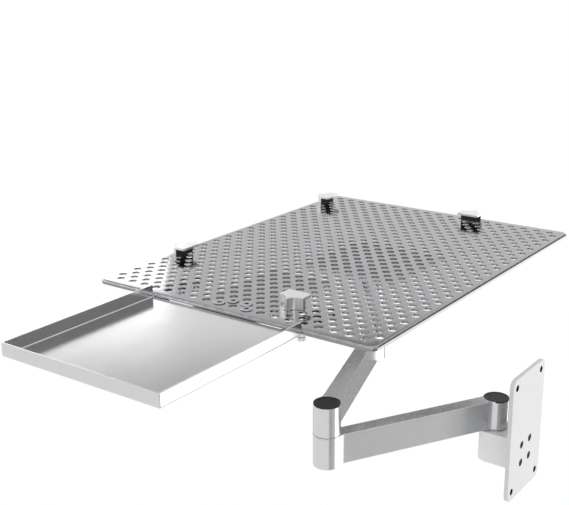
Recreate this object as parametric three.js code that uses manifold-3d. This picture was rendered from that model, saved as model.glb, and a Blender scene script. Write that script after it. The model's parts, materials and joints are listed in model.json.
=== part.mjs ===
// Wall-mounted laptop stand: a perforated tray with a pull-out mouse tray, carried by a two-link arm.
// Millimetres, +Z up, +Y into the wall, +X to the user's right. The origin is the middle of the wall
// plate's back face. The arm is modelled half folded, with the tray square to the wall.
import * as THREE from "three";
import { mergeVertices } from "three/addons/utils/BufferGeometryUtils.js";
import Module from "manifold-3d";

const wasm = await Module();
wasm.setup();

// Clearances
const fit = 0.3; // round a pin, screw or rivet, and beside a guided edge
const seat = 0.15; // between faces that rest on one another
const overrun = 1; // how far a cut runs past the face that it opens

// Facets of round forms
const hubSides = 20;
const boreSides = 12;
const smallSides = 10;
const grilleSides = 4;
const cornerSides = 2;

// Wall side
const plate = { width: 74, height: 128, thick: 4.2, corner: 8 };
const wallHole = { radius: 3.25, acrossX: 56, acrossZ: 109 };
const block = { width: 34, height: 32.4, top: -5.1, corner: 11 };
const wallPivot = 33.2; // pivot axis to the plate's back face
const bracketBolt = { pitch: 19, headRadius: 3.5, headTall: 2, headInset: 0.8, radius: 2, length: 14, tip: 2 };

// Arm links
const lowerLink = 186.6;
const upperLink = 185;
const hub = { radius: 12.7, height: 30.4, edge: 0.8 };
const bar = { width: 14.8, lift: 1, fillet: 11 };
const cap = { thick: 1.2, plug: 1.4 };
const lowerTurn = THREE.MathUtils.degToRad(-29.73); // lower link, from +X
const upperTurn = THREE.MathUtils.degToRad(198.3); // upper link, from +X

// Pivots between the links
const pin = { radius: 6, headRadius: 9, headTall: 6, headInset: 0.6, threadRadius: 5, threadTip: 1 };
const bushWall = 1.7;
const thrust = { thick: 1, inner: 6.5 };
const room = { radius: 10, depth: 8.2 }; // counterbore that hides a nut or a bolt head
const nut = { flats: 16, tall: 5 };
const retainer = { headRadius: 9, headTall: 3, radius: 4, length: 14, tip: 2 };

// Tilt head under the tray
const post = { radius: 10, collarRadius: 12, collarTall: 4 };
const tiltRise = 58.7; // tilt axis above the upper link
const lug = { thick: 12, radius: 10, below: 14 };
const disc = { thick: 1.5 };
const yoke = { ear: 5, earRadius: 10, rise: 12.7, base: 4, width: 60, depth: 44, corner: 4 };
const tiltBolt = { radius: 4, flats: 13, headTall: 5.5, nutTall: 6.5, tip: 1.5 };
const mountPlate = { side: 110, thick: 3, corner: 6 };
const mountScrew = { alongX: 44, alongY: 30, radius: 2, headRadius: 4, headTall: 2.5 };

// Laptop tray
const deck = { width: 424, depth: 318.7, sheet: 2, rimTall: 4.3, rimWall: 2, corner: 9, back: 128.7 };
const grille = { radius: 4, rowPitch: 10.42, holePitch: 15.75, rowStep: 2 };
const border = { width: 13.6, depth: 9.5 }; // least distance from the deck's edges to a hole's centre
const notch = { width: 180 }; // opening in the rim for the mouse tray
const rowCount = 2 * Math.floor((deck.width / 2 - border.width) / grille.rowPitch) + 1;
const outermost = Math.floor((deck.depth / 2 - border.depth) / grille.holePitch - 1 / 2) + 1 / 2;

// Mouse tray and its slide
const mouse = { length: 177.6, width: 174, wallTall: 12.8, sheet: 1.5, gap: 0.5 };
const tongue = { width: 71.6, inset: 8.5 }; // inset from the channel's inner end
const tab = { inner: 66, outer: 86, length: 60 };
const slide = { travel: 38, play: 0.25 };
const channel = { sheet: 1.2, lip: 6, inset: 3, room: 29 }; // room beside the mount plate
const clip = { length: 30, inset: 4, flange: 9.4, lip: 12.9, bossRadius: 4, bossTall: 3.4 };
const rivet = { headRadius: 5.75, headTall: 0.9, radius: 3.4, bore: 2.2, tailRadius: 4.6, tailTall: 0.7 };
const rivetHoles = [[0, 1], [0, -1], [1, 0.5], [1, -0.5]]; // row, and pitches from the row's middle
const lock = { radius: 2, headRadius: 3.8, headTall: 3.4, headBelow: 8.7, inset: 10, aside: 79.5, lobes: 12 };

// Laptop clamps
const hook = { width: 25.8, nose: 4, shoulder: 4.9, face: 8, tall: 11.8, lip: 11.3, lipThick: 2.4 };
const hookCorner = { radius: 2, flute: 3.2, bluntness: 1.2 };
const pad = { thick: 1.5, inset: 0.8 }; // rubber on the hook's face
const stud = { radius: 2.5, tip: 2 };
const thumbNut = { radius: 7.5, tall: 6, lobes: 10, groove: 0.6 };
const besideChannel = tongue.width / 2 + fit + channel.sheet + thumbNut.radius + fit;
const sidePlace = Math.ceil(besideChannel / grille.holePitch); // pitches to the side clamps
const clamps = [
  { name: "clamp_right", row: 2, across: sidePlace, turn: Math.PI },
  { name: "clamp_front_right", row: 9, across: -outermost, turn: Math.PI / 2 },
  { name: "clamp_front_left", row: rowCount - 4, across: -outermost, turn: Math.PI / 2 },
  { name: "clamp_left", row: rowCount - 1, across: sidePlace, turn: 0 },
];

// Finishes
const aluminium = { color: 0xc9cbce, roughness: 0.32, metalness: 0.9 };
const paleSteel = { color: 0xe4e5e6, roughness: 0.4, metalness: 0.5 };
const deckSteel = { color: 0xb4b6b8, roughness: 0.38, metalness: 0.8 };
const brightSteel = { color: 0xd8d9da, roughness: 0.2, metalness: 1 };
const blackSteel = { color: 0x1c1d1f, roughness: 0.5, metalness: 0.6 };
const blackPlastic = { color: 0x2a2b2d, roughness: 0.55, metalness: 0 };
const blackRubber = { color: 0x18181a, roughness: 0.8, metalness: 0 };
const bronze = { color: 0xa98a58, roughness: 0.45, metalness: 0.8 };

// Geometry helpers: geometries are joined and cut as solids, and come back as geometries

function toSolid(form) {
  if (!form.isBufferGeometry) return form;
  const bare = form.clone();
  bare.deleteAttribute("normal");
  bare.deleteAttribute("uv");
  const merged = mergeVertices(bare);
  const vertProperties = merged.attributes.position.array;
  const triVerts = new Uint32Array(merged.index.array);
  return new wasm.Manifold(new wasm.Mesh({ numProp: 3, vertProperties, triVerts }));
}

function toGeometry(solid) {
  const mesh = solid.getMesh();
  const geometry = new THREE.BufferGeometry();
  geometry.setAttribute("position", new THREE.BufferAttribute(mesh.vertProperties, mesh.numProp));
  geometry.setIndex(new THREE.BufferAttribute(mesh.triVerts, 1));
  geometry.computeVertexNormals();
  return geometry;
}

function join(...forms) {
  return forms.map(toSolid).reduce((whole, next) => whole.add(next));
}

function cut(form, ...tools) {
  return tools.map(toSolid).reduce((whole, tool) => whole.subtract(tool), toSolid(form));
}

function piece(name, form, finish) {
  const geometry = form.isBufferGeometry ? form : toGeometry(form);
  const material = new THREE.MeshStandardMaterial({ ...finish, flatShading: true });
  const mesh = new THREE.Mesh(geometry, material);
  mesh.name = name;
  return mesh;
}

function groupAt(x, y, z, turn = 0) {
  const group = new THREE.Group();
  group.position.set(x, y, z);
  group.rotation.z = turn;
  return group;
}

// A prism of a shape in the XY plane, from z0 up to z1
function prism(shape, z0, z1, curveSegments = cornerSides) {
  const geometry = new THREE.ExtrudeGeometry(shape, { depth: z1 - z0, bevelEnabled: false, curveSegments });
  return geometry.translate(0, 0, z0);
}

// A prism of a shape drawn in Y and Z, from x0 to x1
const yzToSpace = new THREE.Matrix4().makeBasis(
  new THREE.Vector3(0, 1, 0),
  new THREE.Vector3(0, 0, 1),
  new THREE.Vector3(1, 0, 0),
);

function prismAlongX(shape, x0, x1, curveSegments = cornerSides) {
  return prism(shape, x0, x1, curveSegments).applyMatrix4(yzToSpace);
}

function rod(radius, z0, z1, sides = boreSides) {
  const geometry = new THREE.CylinderGeometry(radius, radius, z1 - z0, sides);
  return geometry.rotateX(Math.PI / 2).translate(0, 0, (z0 + z1) / 2);
}

// A round form about Z from its radius and height pairs
function turned(profile, sides = boreSides) {
  const points = profile.map(([radius, z]) => new THREE.Vector2(radius, z));
  return new THREE.LatheGeometry(points, sides).rotateX(Math.PI / 2);
}

function ring(inner, outer, z0, z1, sides = boreSides) {
  return turned([[inner, z0], [outer, z0], [outer, z1], [inner, z1], [inner, z0]], sides);
}

function polygon(points) {
  return new THREE.Shape(points.map(([x, y]) => new THREE.Vector2(x, y)));
}

function roundPoints(radius, sides, x = 0, y = 0) {
  return Array.from({ length: sides }, (_, i) => {
    const angle = (i * 2 * Math.PI) / sides;
    return new THREE.Vector2(x + radius * Math.cos(angle), y + radius * Math.sin(angle));
  });
}

function hexagon(flats) {
  return new THREE.Shape(roundPoints(flats / Math.sqrt(3), 6));
}

function roundedRectangle(width, depth, corner) {
  const x = width / 2;
  const y = depth / 2;
  const shape = new THREE.Shape();
  shape.moveTo(x - corner, -y);
  shape.absarc(x - corner, corner - y, corner, -Math.PI / 2, 0);
  shape.absarc(x - corner, y - corner, corner, 0, Math.PI / 2);
  shape.absarc(corner - x, y - corner, corner, Math.PI / 2, Math.PI);
  shape.absarc(corner - x, corner - y, corner, Math.PI, (3 * Math.PI) / 2);
  return shape;
}

// A round outline with shallow grooves, as on a knurled head
function lobedOutline(radius, lobes, groove) {
  const points = Array.from({ length: 2 * lobes }, (_, i) => {
    const angle = (i * Math.PI) / lobes;
    const reach = i % 2 ? radius - groove : radius;
    return [reach * Math.cos(angle), reach * Math.sin(angle)];
  });
  return polygon(points);
}

// Wall side

const blockBottom = block.top - block.height;
const blockBack = -plate.thick - seat;
const pivotFloor = hub.height - cap.thick - room.depth; // nut seat above the bottom of a capped hub
const pinHeadRoom = pin.headInset + pin.headTall + seat;
const boltPlaces = [-1, 1].flatMap((side) =>
  [-1, 1].map((end) => [
    (side * bracketBolt.pitch) / 2,
    block.top - block.height / 2 + (end * bracketBolt.pitch) / 2,
  ]),
);
const boltFloor = bracketBolt.headInset + bracketBolt.headTall + seat; // seat of the head in the plate

function wallPlate() {
  const outline = roundedRectangle(plate.width, plate.height, plate.corner);
  for (const side of [-1, 1])
    for (const end of [-1, 1]) {
      const x = (side * wallHole.acrossX) / 2;
      const z = (end * wallHole.acrossZ) / 2;
      outline.holes.push(new THREE.Path(roundPoints(wallHole.radius, boreSides, x, z)));
    }
  const flat = prism(outline, 0, plate.thick).rotateX(Math.PI / 2);
  const cuts = boltPlaces.flatMap(([x, z]) => [
    rod(bracketBolt.headRadius + fit, -overrun, boltFloor).rotateX(Math.PI / 2).translate(x, 0, z),
    rod(bracketBolt.radius + fit, 0, plate.thick + overrun).rotateX(Math.PI / 2).translate(x, 0, z),
  ]);
  return piece("wall_plate", cut(flat, ...cuts), paleSteel);
}

function hingeBracket() {
  const x = block.width / 2;
  const front = -wallPivot - hub.radius;
  const shape = new THREE.Shape();
  shape.moveTo(-x, blockBack);
  shape.absarc(block.corner - x, front + block.corner, block.corner, Math.PI, (3 * Math.PI) / 2);
  shape.absarc(x - block.corner, front + block.corner, block.corner, -Math.PI / 2, 0);
  shape.lineTo(x, blockBack);
  const tapped = boltPlaces.map(([boltX, boltZ]) =>
    rod(bracketBolt.radius + fit, 0, boltFloor + bracketBolt.length + bracketBolt.tip)
      .rotateX(Math.PI / 2)
      .translate(boltX, 0, boltZ),
  );
  const bore = rod(pin.radius + fit, blockBottom - overrun, block.top + overrun);
  const headRoom = rod(room.radius, blockBottom - overrun, blockBottom + pinHeadRoom);
  const body = prism(shape, blockBottom, block.top, 2 * cornerSides);
  return piece(
    "hinge_bracket",
    cut(body, bore.translate(0, -wallPivot, 0), headRoom.translate(0, -wallPivot, 0), ...tapped),
    paleSteel,
  );
}

// A low-head bolt from the plate's back, pointing away from the wall
function bracketBoltMesh(index, [x, z]) {
  const { headRadius, headTall, headInset, radius, length } = bracketBolt;
  const under = headInset + headTall;
  const profile = [[0, headInset], [headRadius, headInset], [headRadius, under], [radius, under]];
  profile.push([radius, under + length], [0, under + length]);
  const bolt = turned(profile, smallSides).rotateX(Math.PI / 2).translate(x, 0, z);
  return piece(`bracket_bolt_${index + 1}`, bolt, blackSteel);
}

// A headed pivot pin. Heights run from the bottom of the piece that holds its head.
function pivotPin(name, nutSeat) {
  const shoulder = pin.headInset + pin.headTall;
  const tip = nutSeat + seat + nut.tall + pin.threadTip;
  const profile = [[0, pin.headInset], [pin.headRadius, pin.headInset], [pin.headRadius, shoulder]];
  profile.push([pin.radius, shoulder], [pin.radius, nutSeat], [pin.threadRadius, nutSeat]);
  profile.push([pin.threadRadius, tip], [0, tip]);
  return piece(name, turned(profile), brightSteel);
}

function lockNut(name, flats, tall, threadRadius) {
  const shape = hexagon(flats);
  shape.holes.push(new THREE.Path(roundPoints(threadRadius + fit, boreSides)));
  return piece(name, prism(shape, 0, tall), brightSteel);
}

function thrustWasher(name) {
  return piece(name, ring(thrust.inner, hub.radius, 0, thrust.thick, hubSides), brightSteel);
}

function place(mesh, x, y, z) {
  mesh.position.set(x, y, z);
  return mesh;
}

// Arm links, each from its own pivot along +X, with z 0 at the bottom of its hubs

const stackStep = 2 * seat + thrust.thick; // from a top face, over a thrust washer, to the next hub

function hubForm(x, top) {
  const { radius, edge } = hub;
  const profile = [[0, 0], [radius - edge, 0], [radius, edge], [radius, top - edge], [radius - edge, top], [0, top]];
  return turned(profile, hubSides).translate(x, 0, 0);
}

function barForm(link) {
  const half = bar.width / 2;
  const across = hub.radius + bar.fillet;
  const start = Math.sqrt(across ** 2 - (half + bar.fillet) ** 2);
  const lean = Math.asin((half + bar.fillet) / across);
  const shape = new THREE.Shape();
  shape.absarc(start, half + bar.fillet, bar.fillet, Math.PI + lean, (3 * Math.PI) / 2);
  shape.absarc(link - start, half + bar.fillet, bar.fillet, -Math.PI / 2, -lean);
  shape.absarc(link - start, -half - bar.fillet, bar.fillet, lean, Math.PI / 2);
  shape.absarc(start, -half - bar.fillet, bar.fillet, Math.PI / 2, Math.PI - lean);
  return prism(shape, bar.lift, hub.height);
}

// A link casting: a capped hub at its pivot, a bar and a plain hub at its far end
function linkCasting(name, link, farBore, farRoom) {
  const cappedTop = hub.height - cap.thick - seat;
  const whole = join(barForm(link), hubForm(0, cappedTop), hubForm(link, hub.height));
  return piece(
    name,
    cut(
      whole,
      rod(hub.radius + fit, cappedTop, hub.height + overrun, hubSides),
      rod(pin.radius + fit + bushWall + fit, -overrun, hub.height),
      rod(room.radius, pivotFloor, hub.height),
      rod(farBore, -overrun, hub.height + overrun).translate(link, 0, 0),
      rod(room.radius, -overrun, farRoom).translate(link, 0, 0),
    ),
    aluminium,
  );
}

function bush(name, length) {
  const inner = pin.radius + fit;
  return piece(name, ring(inner, inner + bushWall, 0, length), bronze);
}

function hubCap(name) {
  const face = hub.height - cap.thick;
  const plug = room.radius - 2 * fit;
  const bottom = face - cap.plug;
  const profile = [[0, bottom], [plug, bottom], [plug, face], [hub.radius, face]];
  profile.push([hub.radius, hub.height], [0, hub.height]);
  return piece(name, turned(profile, hubSides), blackPlastic);
}

// Tilt head

const postBottom = room.depth + seat - hub.height;
const postTop = tiltRise - lug.below;
const earInner = lug.thick / 2 + seat + disc.thick + seat;
const earOuter = earInner + yoke.ear;
const deckUnder = yoke.rise + yoke.base + seat + mountPlate.thick + seat; // deck underside over the tilt axis

function headPost() {
  const drilled = retainer.radius + fit;
  const drillTop = postBottom + retainer.length + retainer.tip;
  const collarTop = stackStep + post.collarTall;
  const profile = [[0, drillTop], [drilled, drillTop], [drilled, postBottom], [pin.radius, postBottom]];
  profile.push([pin.radius, stackStep], [post.collarRadius, stackStep], [post.collarRadius, collarTop]);
  profile.push([post.radius, collarTop], [post.radius, postTop], [0, postTop]);
  const eye = new THREE.Shape();
  eye.moveTo(-lug.radius, postTop - lug.radius);
  eye.lineTo(lug.radius, postTop - lug.radius);
  eye.absarc(0, tiltRise, lug.radius, 0, Math.PI);
  const blade = prismAlongX(eye, -lug.thick / 2, lug.thick / 2, boreSides / 2);
  const bore = rod(tiltBolt.radius + fit, -lug.thick, lug.thick).rotateY(Math.PI / 2);
  return piece(
    "head_post",
    cut(join(turned(profile), blade), bore.translate(0, 0, tiltRise)),
    aluminium,
  );
}

function retainingScrew() {
  const top = room.depth - seat - hub.height;
  const under = top - retainer.headTall;
  const tip = postBottom + retainer.length;
  const profile = [[0, under], [retainer.headRadius, under], [retainer.headRadius, top]];
  profile.push([retainer.radius, top], [retainer.radius, tip], [0, tip]);
  return piece("head_retaining_screw", turned(profile), blackSteel);
}

// The pieces of the tilt head have the tilt axis at y 0 and z 0
const screwPlaces = [-1, 1].flatMap((side) =>
  [-1, 1].map((end) => [(side * mountScrew.alongX) / 2, (end * mountScrew.alongY) / 2]),
);

function tiltYoke() {
  const base = roundedRectangle(yoke.width, yoke.depth, yoke.corner);
  for (const [x, y] of screwPlaces)
    base.holes.push(new THREE.Path(roundPoints(mountScrew.radius + fit, smallSides, x, y)));
  const ear = new THREE.Shape();
  ear.moveTo(yoke.earRadius, yoke.rise + yoke.base / 2);
  ear.lineTo(-yoke.earRadius, yoke.rise + yoke.base / 2);
  ear.absarc(0, 0, yoke.earRadius, Math.PI, 2 * Math.PI);
  ear.holes.push(new THREE.Path(roundPoints(tiltBolt.radius + fit, boreSides)));
  return piece(
    "tilt_yoke",
    join(
      prism(base, yoke.rise, yoke.rise + yoke.base),
      prismAlongX(ear, earInner, earOuter, boreSides / 2),
      prismAlongX(ear, -earOuter, -earInner, boreSides / 2),
    ),
    paleSteel,
  );
}

function tiltBoltMesh() {
  const face = earOuter + seat;
  const end = face + tiltBolt.nutTall + tiltBolt.tip;
  const head = prism(hexagon(tiltBolt.flats), face, face + tiltBolt.headTall);
  const shank = rod(tiltBolt.radius, -end, face + tiltBolt.headTall / 2);
  return piece("tilt_bolt", toGeometry(join(head, shank)).rotateY(Math.PI / 2), blackSteel);
}

function tiltNut() {
  const mesh = lockNut("tilt_nut", tiltBolt.flats, tiltBolt.nutTall, tiltBolt.radius);
  mesh.geometry.rotateY(Math.PI / 2);
  return place(mesh, -earOuter - seat - tiltBolt.nutTall, 0, 0);
}

function frictionDisc(name, side) {
  const middle = side * (lug.thick / 2 + seat + disc.thick / 2);
  const form = ring(tiltBolt.radius + fit, yoke.earRadius, -disc.thick / 2, disc.thick / 2);
  return place(piece(name, form.rotateY(Math.PI / 2), blackPlastic), middle, 0, 0);
}

function mountPlateMesh() {
  const shape = roundedRectangle(mountPlate.side, mountPlate.side, mountPlate.corner);
  for (const [x, y] of screwPlaces)
    shape.holes.push(new THREE.Path(roundPoints(mountScrew.radius + fit, smallSides, x, y)));
  const bottom = yoke.rise + yoke.base + seat;
  return piece("tray_mount_plate", prism(shape, bottom, bottom + mountPlate.thick), paleSteel);
}

function mountScrewMesh(index, [x, y]) {
  const under = yoke.rise - seat;
  const { radius, headRadius, headTall } = mountScrew;
  const top = deckUnder - seat;
  const profile = [[0, under - headTall], [headRadius, under - headTall], [headRadius, under]];
  profile.push([radius, under], [radius, top], [0, top]);
  const screw = piece(`mount_screw_${index + 1}`, turned(profile, smallSides), blackSteel);
  return place(screw, x, y, 0);
}

// Laptop tray. Its frame has its origin in the middle of the deck's underside.

const deckMiddle = deck.back - deck.depth / 2; // from the head's axis
const deckEdge = deck.width / 2;
const channelBottom = -seat - channel.sheet; // underside of the channel's web
const channelStart = mountPlate.side / 2 + channel.room;
const channelEnd = deckEdge - channel.inset;
const slideTop = channelBottom - slide.play; // top of the mouse tray's sheet
const slideBottom = slideTop - mouse.sheet;
const lipTop = slideBottom - slide.play;
const lipBottom = lipTop - channel.sheet;
const clipEnd = deckEdge - clip.inset;
const clipStart = clipEnd - clip.length;
const clipWall = tab.outer + fit;
const rivetTail = channelBottom - seat - rivet.tailTall;

// Centre of a grille hole, by its row from the +X end and its pitches from the row's middle
function holeAt(row, across) {
  return [((rowCount - 1) / 2 - row) * grille.rowPitch, across * grille.holePitch];
}

// Odd rows have one hole more than even rows, half a pitch outside them
function holesOfRow(row) {
  const end = row % 2 ? outermost : outermost - 1 / 2;
  return Array.from({ length: 2 * end + 1 }, (_, i) => end - i);
}

const specialHoles = [...rivetHoles, ...clamps.map(({ row, across }) => [row, across])];

function overMountPlate(x, y) {
  const reach = mountPlate.side / 2 + grille.radius;
  return Math.abs(x) < reach && Math.abs(y + deckMiddle) < reach;
}

function overChannel(x, y) {
  const reach = tongue.width / 2 + grille.radius;
  return Math.abs(y) < reach && x > channelStart;
}

// The deck's sheet. Every second row of the grille is cut, and holes that the mount plate or the
// slide channel closes from below are left out.
function laptopDeck() {
  const sheet = roundedRectangle(deck.width, deck.depth, deck.corner);
  const hole = (sides, x, y) => sheet.holes.push(new THREE.Path(roundPoints(grille.radius, sides, x, y)));
  const isSpecial = (row, across) => specialHoles.some(([a, b]) => a === row && b === across);
  for (let row = 0; row < rowCount; row += grille.rowStep)
    for (const across of holesOfRow(row)) {
      const [x, y] = holeAt(row, across);
      if (isSpecial(row, across) || overMountPlate(x, y) || overChannel(x, y)) continue;
      hole(grilleSides, x, y);
    }
  for (const [row, across] of specialHoles) hole(smallSides, ...holeAt(row, across));
  const rim = roundedRectangle(deck.width, deck.depth, deck.corner);
  const inside = roundedRectangle(
    deck.width - 2 * deck.rimWall,
    deck.depth - 2 * deck.rimWall,
    deck.corner - deck.rimWall,
  );
  rim.holes.push(inside);
  const opening = new THREE.BoxGeometry(2 * deck.rimWall + overrun, notch.width, 2 * deck.rimTall);
  opening.translate(deckEdge, 0, -deck.rimTall);
  const turnedDown = cut(prism(rim, deck.sheet - deck.rimTall, deck.sheet), opening);
  return piece("laptop_deck", join(prism(sheet, 0, deck.sheet), turnedDown), deckSteel);
}

function slideChannel() {
  const inner = tongue.width / 2 + fit;
  const outer = inner + channel.sheet;
  const lipInner = inner - channel.lip;
  const half = [[outer, -seat], [outer, lipBottom], [lipInner, lipBottom], [lipInner, lipTop]];
  half.push([inner, lipTop], [inner, channelBottom]);
  const mirrored = half.map(([y, z]) => [-y, z]).reverse();
  const body = prismAlongX(polygon([...half, ...mirrored]), channelStart, channelEnd);
  const holes = rivetHoles.map(([row, across]) => {
    const [x, y] = holeAt(row, across);
    return rod(rivet.radius + fit, channelBottom - overrun, overrun, smallSides).translate(x, y, 0);
  });
  return piece("slide_channel", cut(body, ...holes), paleSteel);
}

// A hollow rivet with a ring head on the deck and a rolled tail under the channel
function trayRivet(number, [row, across]) {
  const [x, y] = holeAt(row, across);
  const headBottom = deck.sheet + seat;
  const headTop = headBottom + rivet.headTall;
  const tailTop = rivetTail + rivet.tailTall;
  const profile = [[rivet.bore, rivetTail], [rivet.tailRadius, rivetTail], [rivet.tailRadius, tailTop]];
  profile.push([rivet.radius, tailTop], [rivet.radius, headBottom], [rivet.headRadius, headBottom]);
  profile.push([rivet.headRadius, headTop], [rivet.bore, headTop], [rivet.bore, rivetTail]);
  return place(piece(`tray_rivet_${number + 1}`, turned(profile, smallSides), brightSteel), x, y, 0);
}

// A Z-shaped rail under the deck that holds one side tab of the mouse tray
function clipForm(side) {
  const outer = clipWall + channel.sheet;
  const lipInner = outer - clip.lip - channel.sheet;
  const outline = [[lipInner, lipBottom], [outer, lipBottom], [outer, channelBottom]];
  outline.push([outer + clip.flange, channelBottom], [outer + clip.flange, -seat], [clipWall, -seat]);
  outline.push([clipWall, lipTop], [lipInner, lipTop]);
  return prismAlongX(polygon(outline.map(([y, z]) => [side * y, z])), clipStart, clipEnd);
}

const lockPlace = [deckEdge - lock.inset, lock.aside];

function guideClipBack() {
  const bossBottom = lipBottom - clip.bossTall;
  const boss = rod(clip.bossRadius, bossBottom, (lipBottom + lipTop) / 2).translate(...lockPlace, 0);
  const bore = rod(lock.radius + fit, bossBottom - overrun, lipTop + slide.play / 2, smallSides);
  return piece("guide_clip_back", cut(join(clipForm(1), boss), bore.translate(...lockPlace, 0)), paleSteel);
}

function guideClipFront() {
  return piece("guide_clip_front", clipForm(-1), paleSteel);
}

// A knurled thumbscrew under the deck that presses on the mouse tray's side tab
function lockScrew() {
  const top = -lock.headBelow;
  const head = prism(lobedOutline(lock.headRadius, lock.lobes, thumbNut.groove), top - lock.headTall, top);
  const stem = rod(lock.radius, top - lock.headTall / 2, slideBottom - seat, smallSides);
  return piece("lock_screw", join(head, stem), brightSteel);
}

// Mouse tray

function mouseTray() {
  const near = deckEdge + mouse.gap;
  const far = near + mouse.length;
  const half = mouse.width / 2;
  const tongueHalf = tongue.width / 2;
  const side = [[far, half], [near, half], [near, tab.outer], [near - tab.length, tab.outer]];
  side.push([near - tab.length, tab.inner], [near, tab.inner], [near, tongueHalf]);
  side.push([channelStart + tongue.inset, tongueHalf]);
  const mirrored = side.map(([x, y]) => [x, -y]).reverse();
  const floor = polygon([...side, ...mirrored]);
  const rivetX = rivetHoles.map(([row, across]) => holeAt(row, across)[0]);
  const rivetY = rivetHoles.map(([row, across]) => holeAt(row, across)[1]);
  const reach = rivet.tailRadius + fit;
  const windowStart = Math.min(...rivetX) - reach - slide.travel;
  const windowEnd = Math.max(...rivetX) + reach;
  const windowHalf = Math.max(...rivetY) + reach;
  const opening = [[windowStart, -windowHalf], [windowEnd, -windowHalf], [windowEnd, windowHalf]];
  opening.push([windowStart, windowHalf]);
  floor.holes.push(new THREE.Path(polygon(opening).getPoints()));
  const inner = half - mouse.sheet;
  const walls = [[near, half], [far, half], [far, -half], [near, -half], [near, -inner]];
  walls.push([far - mouse.sheet, -inner], [far - mouse.sheet, inner], [near, inner]);
  return piece(
    "mouse_tray",
    join(
      prism(floor, slideBottom, slideTop),
      prism(polygon(walls), slideBottom, slideBottom + mouse.wallTall),
    ),
    aluminium,
  );
}

// A laptop clamp about its stud, with the laptop on its +X side

const hookBottom = deck.sheet + seat;
const hookTop = hookBottom + hook.tall;
const lipUnder = hookTop - hook.lipThick;
const nutBottom = -seat - thumbNut.tall;

function clampHook(name) {
  const half = hook.width / 2;
  const middle = (hook.shoulder - hook.nose) / 2 + hookCorner.flute;
  const waist = half / 2 - hookCorner.flute;
  const nose = new THREE.Shape();
  nose.moveTo(hook.face, half);
  nose.lineTo(hook.shoulder, half);
  nose.quadraticCurveTo(middle, waist, -hook.nose, hookCorner.bluntness);
  nose.lineTo(-hook.nose, -hookCorner.bluntness);
  nose.quadraticCurveTo(middle, -waist, hook.shoulder, -half);
  nose.lineTo(hook.face, -half);
  const reach = hook.face + hook.lip;
  const corner = hookCorner.radius;
  const lip = new THREE.Shape();
  lip.moveTo(hook.shoulder, -half);
  lip.absarc(reach - corner, corner - half, corner, -Math.PI / 2, 0);
  lip.absarc(reach - corner, half - corner, corner, 0, Math.PI / 2);
  lip.lineTo(hook.shoulder, half);
  const screw = rod(stud.radius, nutBottom - stud.tip, hookBottom + hook.tall / 2, smallSides);
  return piece(
    `${name}_hook`,
    join(prism(nose, hookBottom, hookTop, 2 * cornerSides), prism(lip, lipUnder, hookTop), screw),
    aluminium,
  );
}

function clampPad(name) {
  const bottom = hookBottom + pad.inset;
  const top = lipUnder - seat;
  const form = new THREE.BoxGeometry(pad.thick, hook.width - 2 * pad.inset, top - bottom);
  form.translate(hook.face + seat + pad.thick / 2, 0, (bottom + top) / 2);
  return piece(`${name}_pad`, form, blackRubber);
}

function clampNut(name) {
  const outline = lobedOutline(thumbNut.radius, thumbNut.lobes, thumbNut.groove);
  outline.holes.push(new THREE.Path(roundPoints(stud.radius + fit, smallSides)));
  return piece(`${name}_nut`, prism(outline, nutBottom, -seat), blackPlastic);
}

// Assembly

function wallSide() {
  const side = new THREE.Group();
  side.add(wallPlate(), hingeBracket(), ...boltPlaces.map((spot, i) => bracketBoltMesh(i, spot)));
  const nutSeat = block.height + stackStep + pivotFloor;
  side.add(place(pivotPin("wall_pivot_pin", nutSeat), 0, -wallPivot, blockBottom));
  side.add(place(thrustWasher("wall_thrust_washer"), 0, -wallPivot, block.top + seat));
  const wallNut = lockNut("wall_pivot_nut", nut.flats, nut.tall, pin.threadRadius);
  side.add(place(wallNut, 0, -wallPivot, blockBottom + nutSeat + seat));
  return side;
}

function lowerArm() {
  const arm = groupAt(0, -wallPivot, block.top + stackStep, lowerTurn);
  arm.add(linkCasting("lower_arm", lowerLink, pin.radius + fit, pinHeadRoom));
  arm.add(bush("wall_hub_bush", pivotFloor), hubCap("wall_hub_cap"));
  const nutSeat = hub.height + stackStep + pivotFloor;
  arm.add(place(pivotPin("elbow_pin", nutSeat), lowerLink, 0, 0));
  arm.add(place(thrustWasher("elbow_thrust_washer"), lowerLink, 0, hub.height + seat));
  const elbowNut = lockNut("elbow_nut", nut.flats, nut.tall, pin.threadRadius);
  arm.add(place(elbowNut, lowerLink, 0, nutSeat + seat));
  return arm;
}

function upperArm() {
  const arm = groupAt(lowerLink, 0, hub.height + stackStep, upperTurn - lowerTurn);
  arm.add(linkCasting("upper_arm", upperLink, pin.radius + fit + bushWall + fit, room.depth));
  arm.add(bush("elbow_hub_bush", pivotFloor), hubCap("elbow_hub_cap"));
  const headBush = bush("head_hub_bush", hub.height - room.depth);
  arm.add(place(headBush, upperLink, 0, room.depth));
  return arm;
}

function head() {
  const group = groupAt(upperLink, 0, hub.height, -upperTurn);
  group.add(place(thrustWasher("head_thrust_washer"), 0, 0, seat), headPost(), retainingScrew());
  return group;
}

function tiltHead() {
  const group = groupAt(0, 0, tiltRise);
  group.add(tiltYoke(), tiltBoltMesh(), tiltNut(), mountPlateMesh());
  group.add(frictionDisc("tilt_friction_disc_right", 1), frictionDisc("tilt_friction_disc_left", -1));
  group.add(...screwPlaces.map((spot, i) => mountScrewMesh(i, spot)));
  return group;
}

function laptopTray() {
  const tray = groupAt(0, deckMiddle, deckUnder);
  tray.add(laptopDeck(), slideChannel(), guideClipBack(), guideClipFront());
  tray.add(...rivetHoles.map((spot, i) => trayRivet(i, spot)));
  tray.add(mouseTray(), place(lockScrew(), ...lockPlace, 0));
  for (const { name, row, across, turn } of clamps) {
    const clamp = groupAt(...holeAt(row, across), 0, turn);
    clamp.add(clampHook(name), clampPad(name), clampNut(name));
    tray.add(clamp);
  }
  return tray;
}

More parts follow.
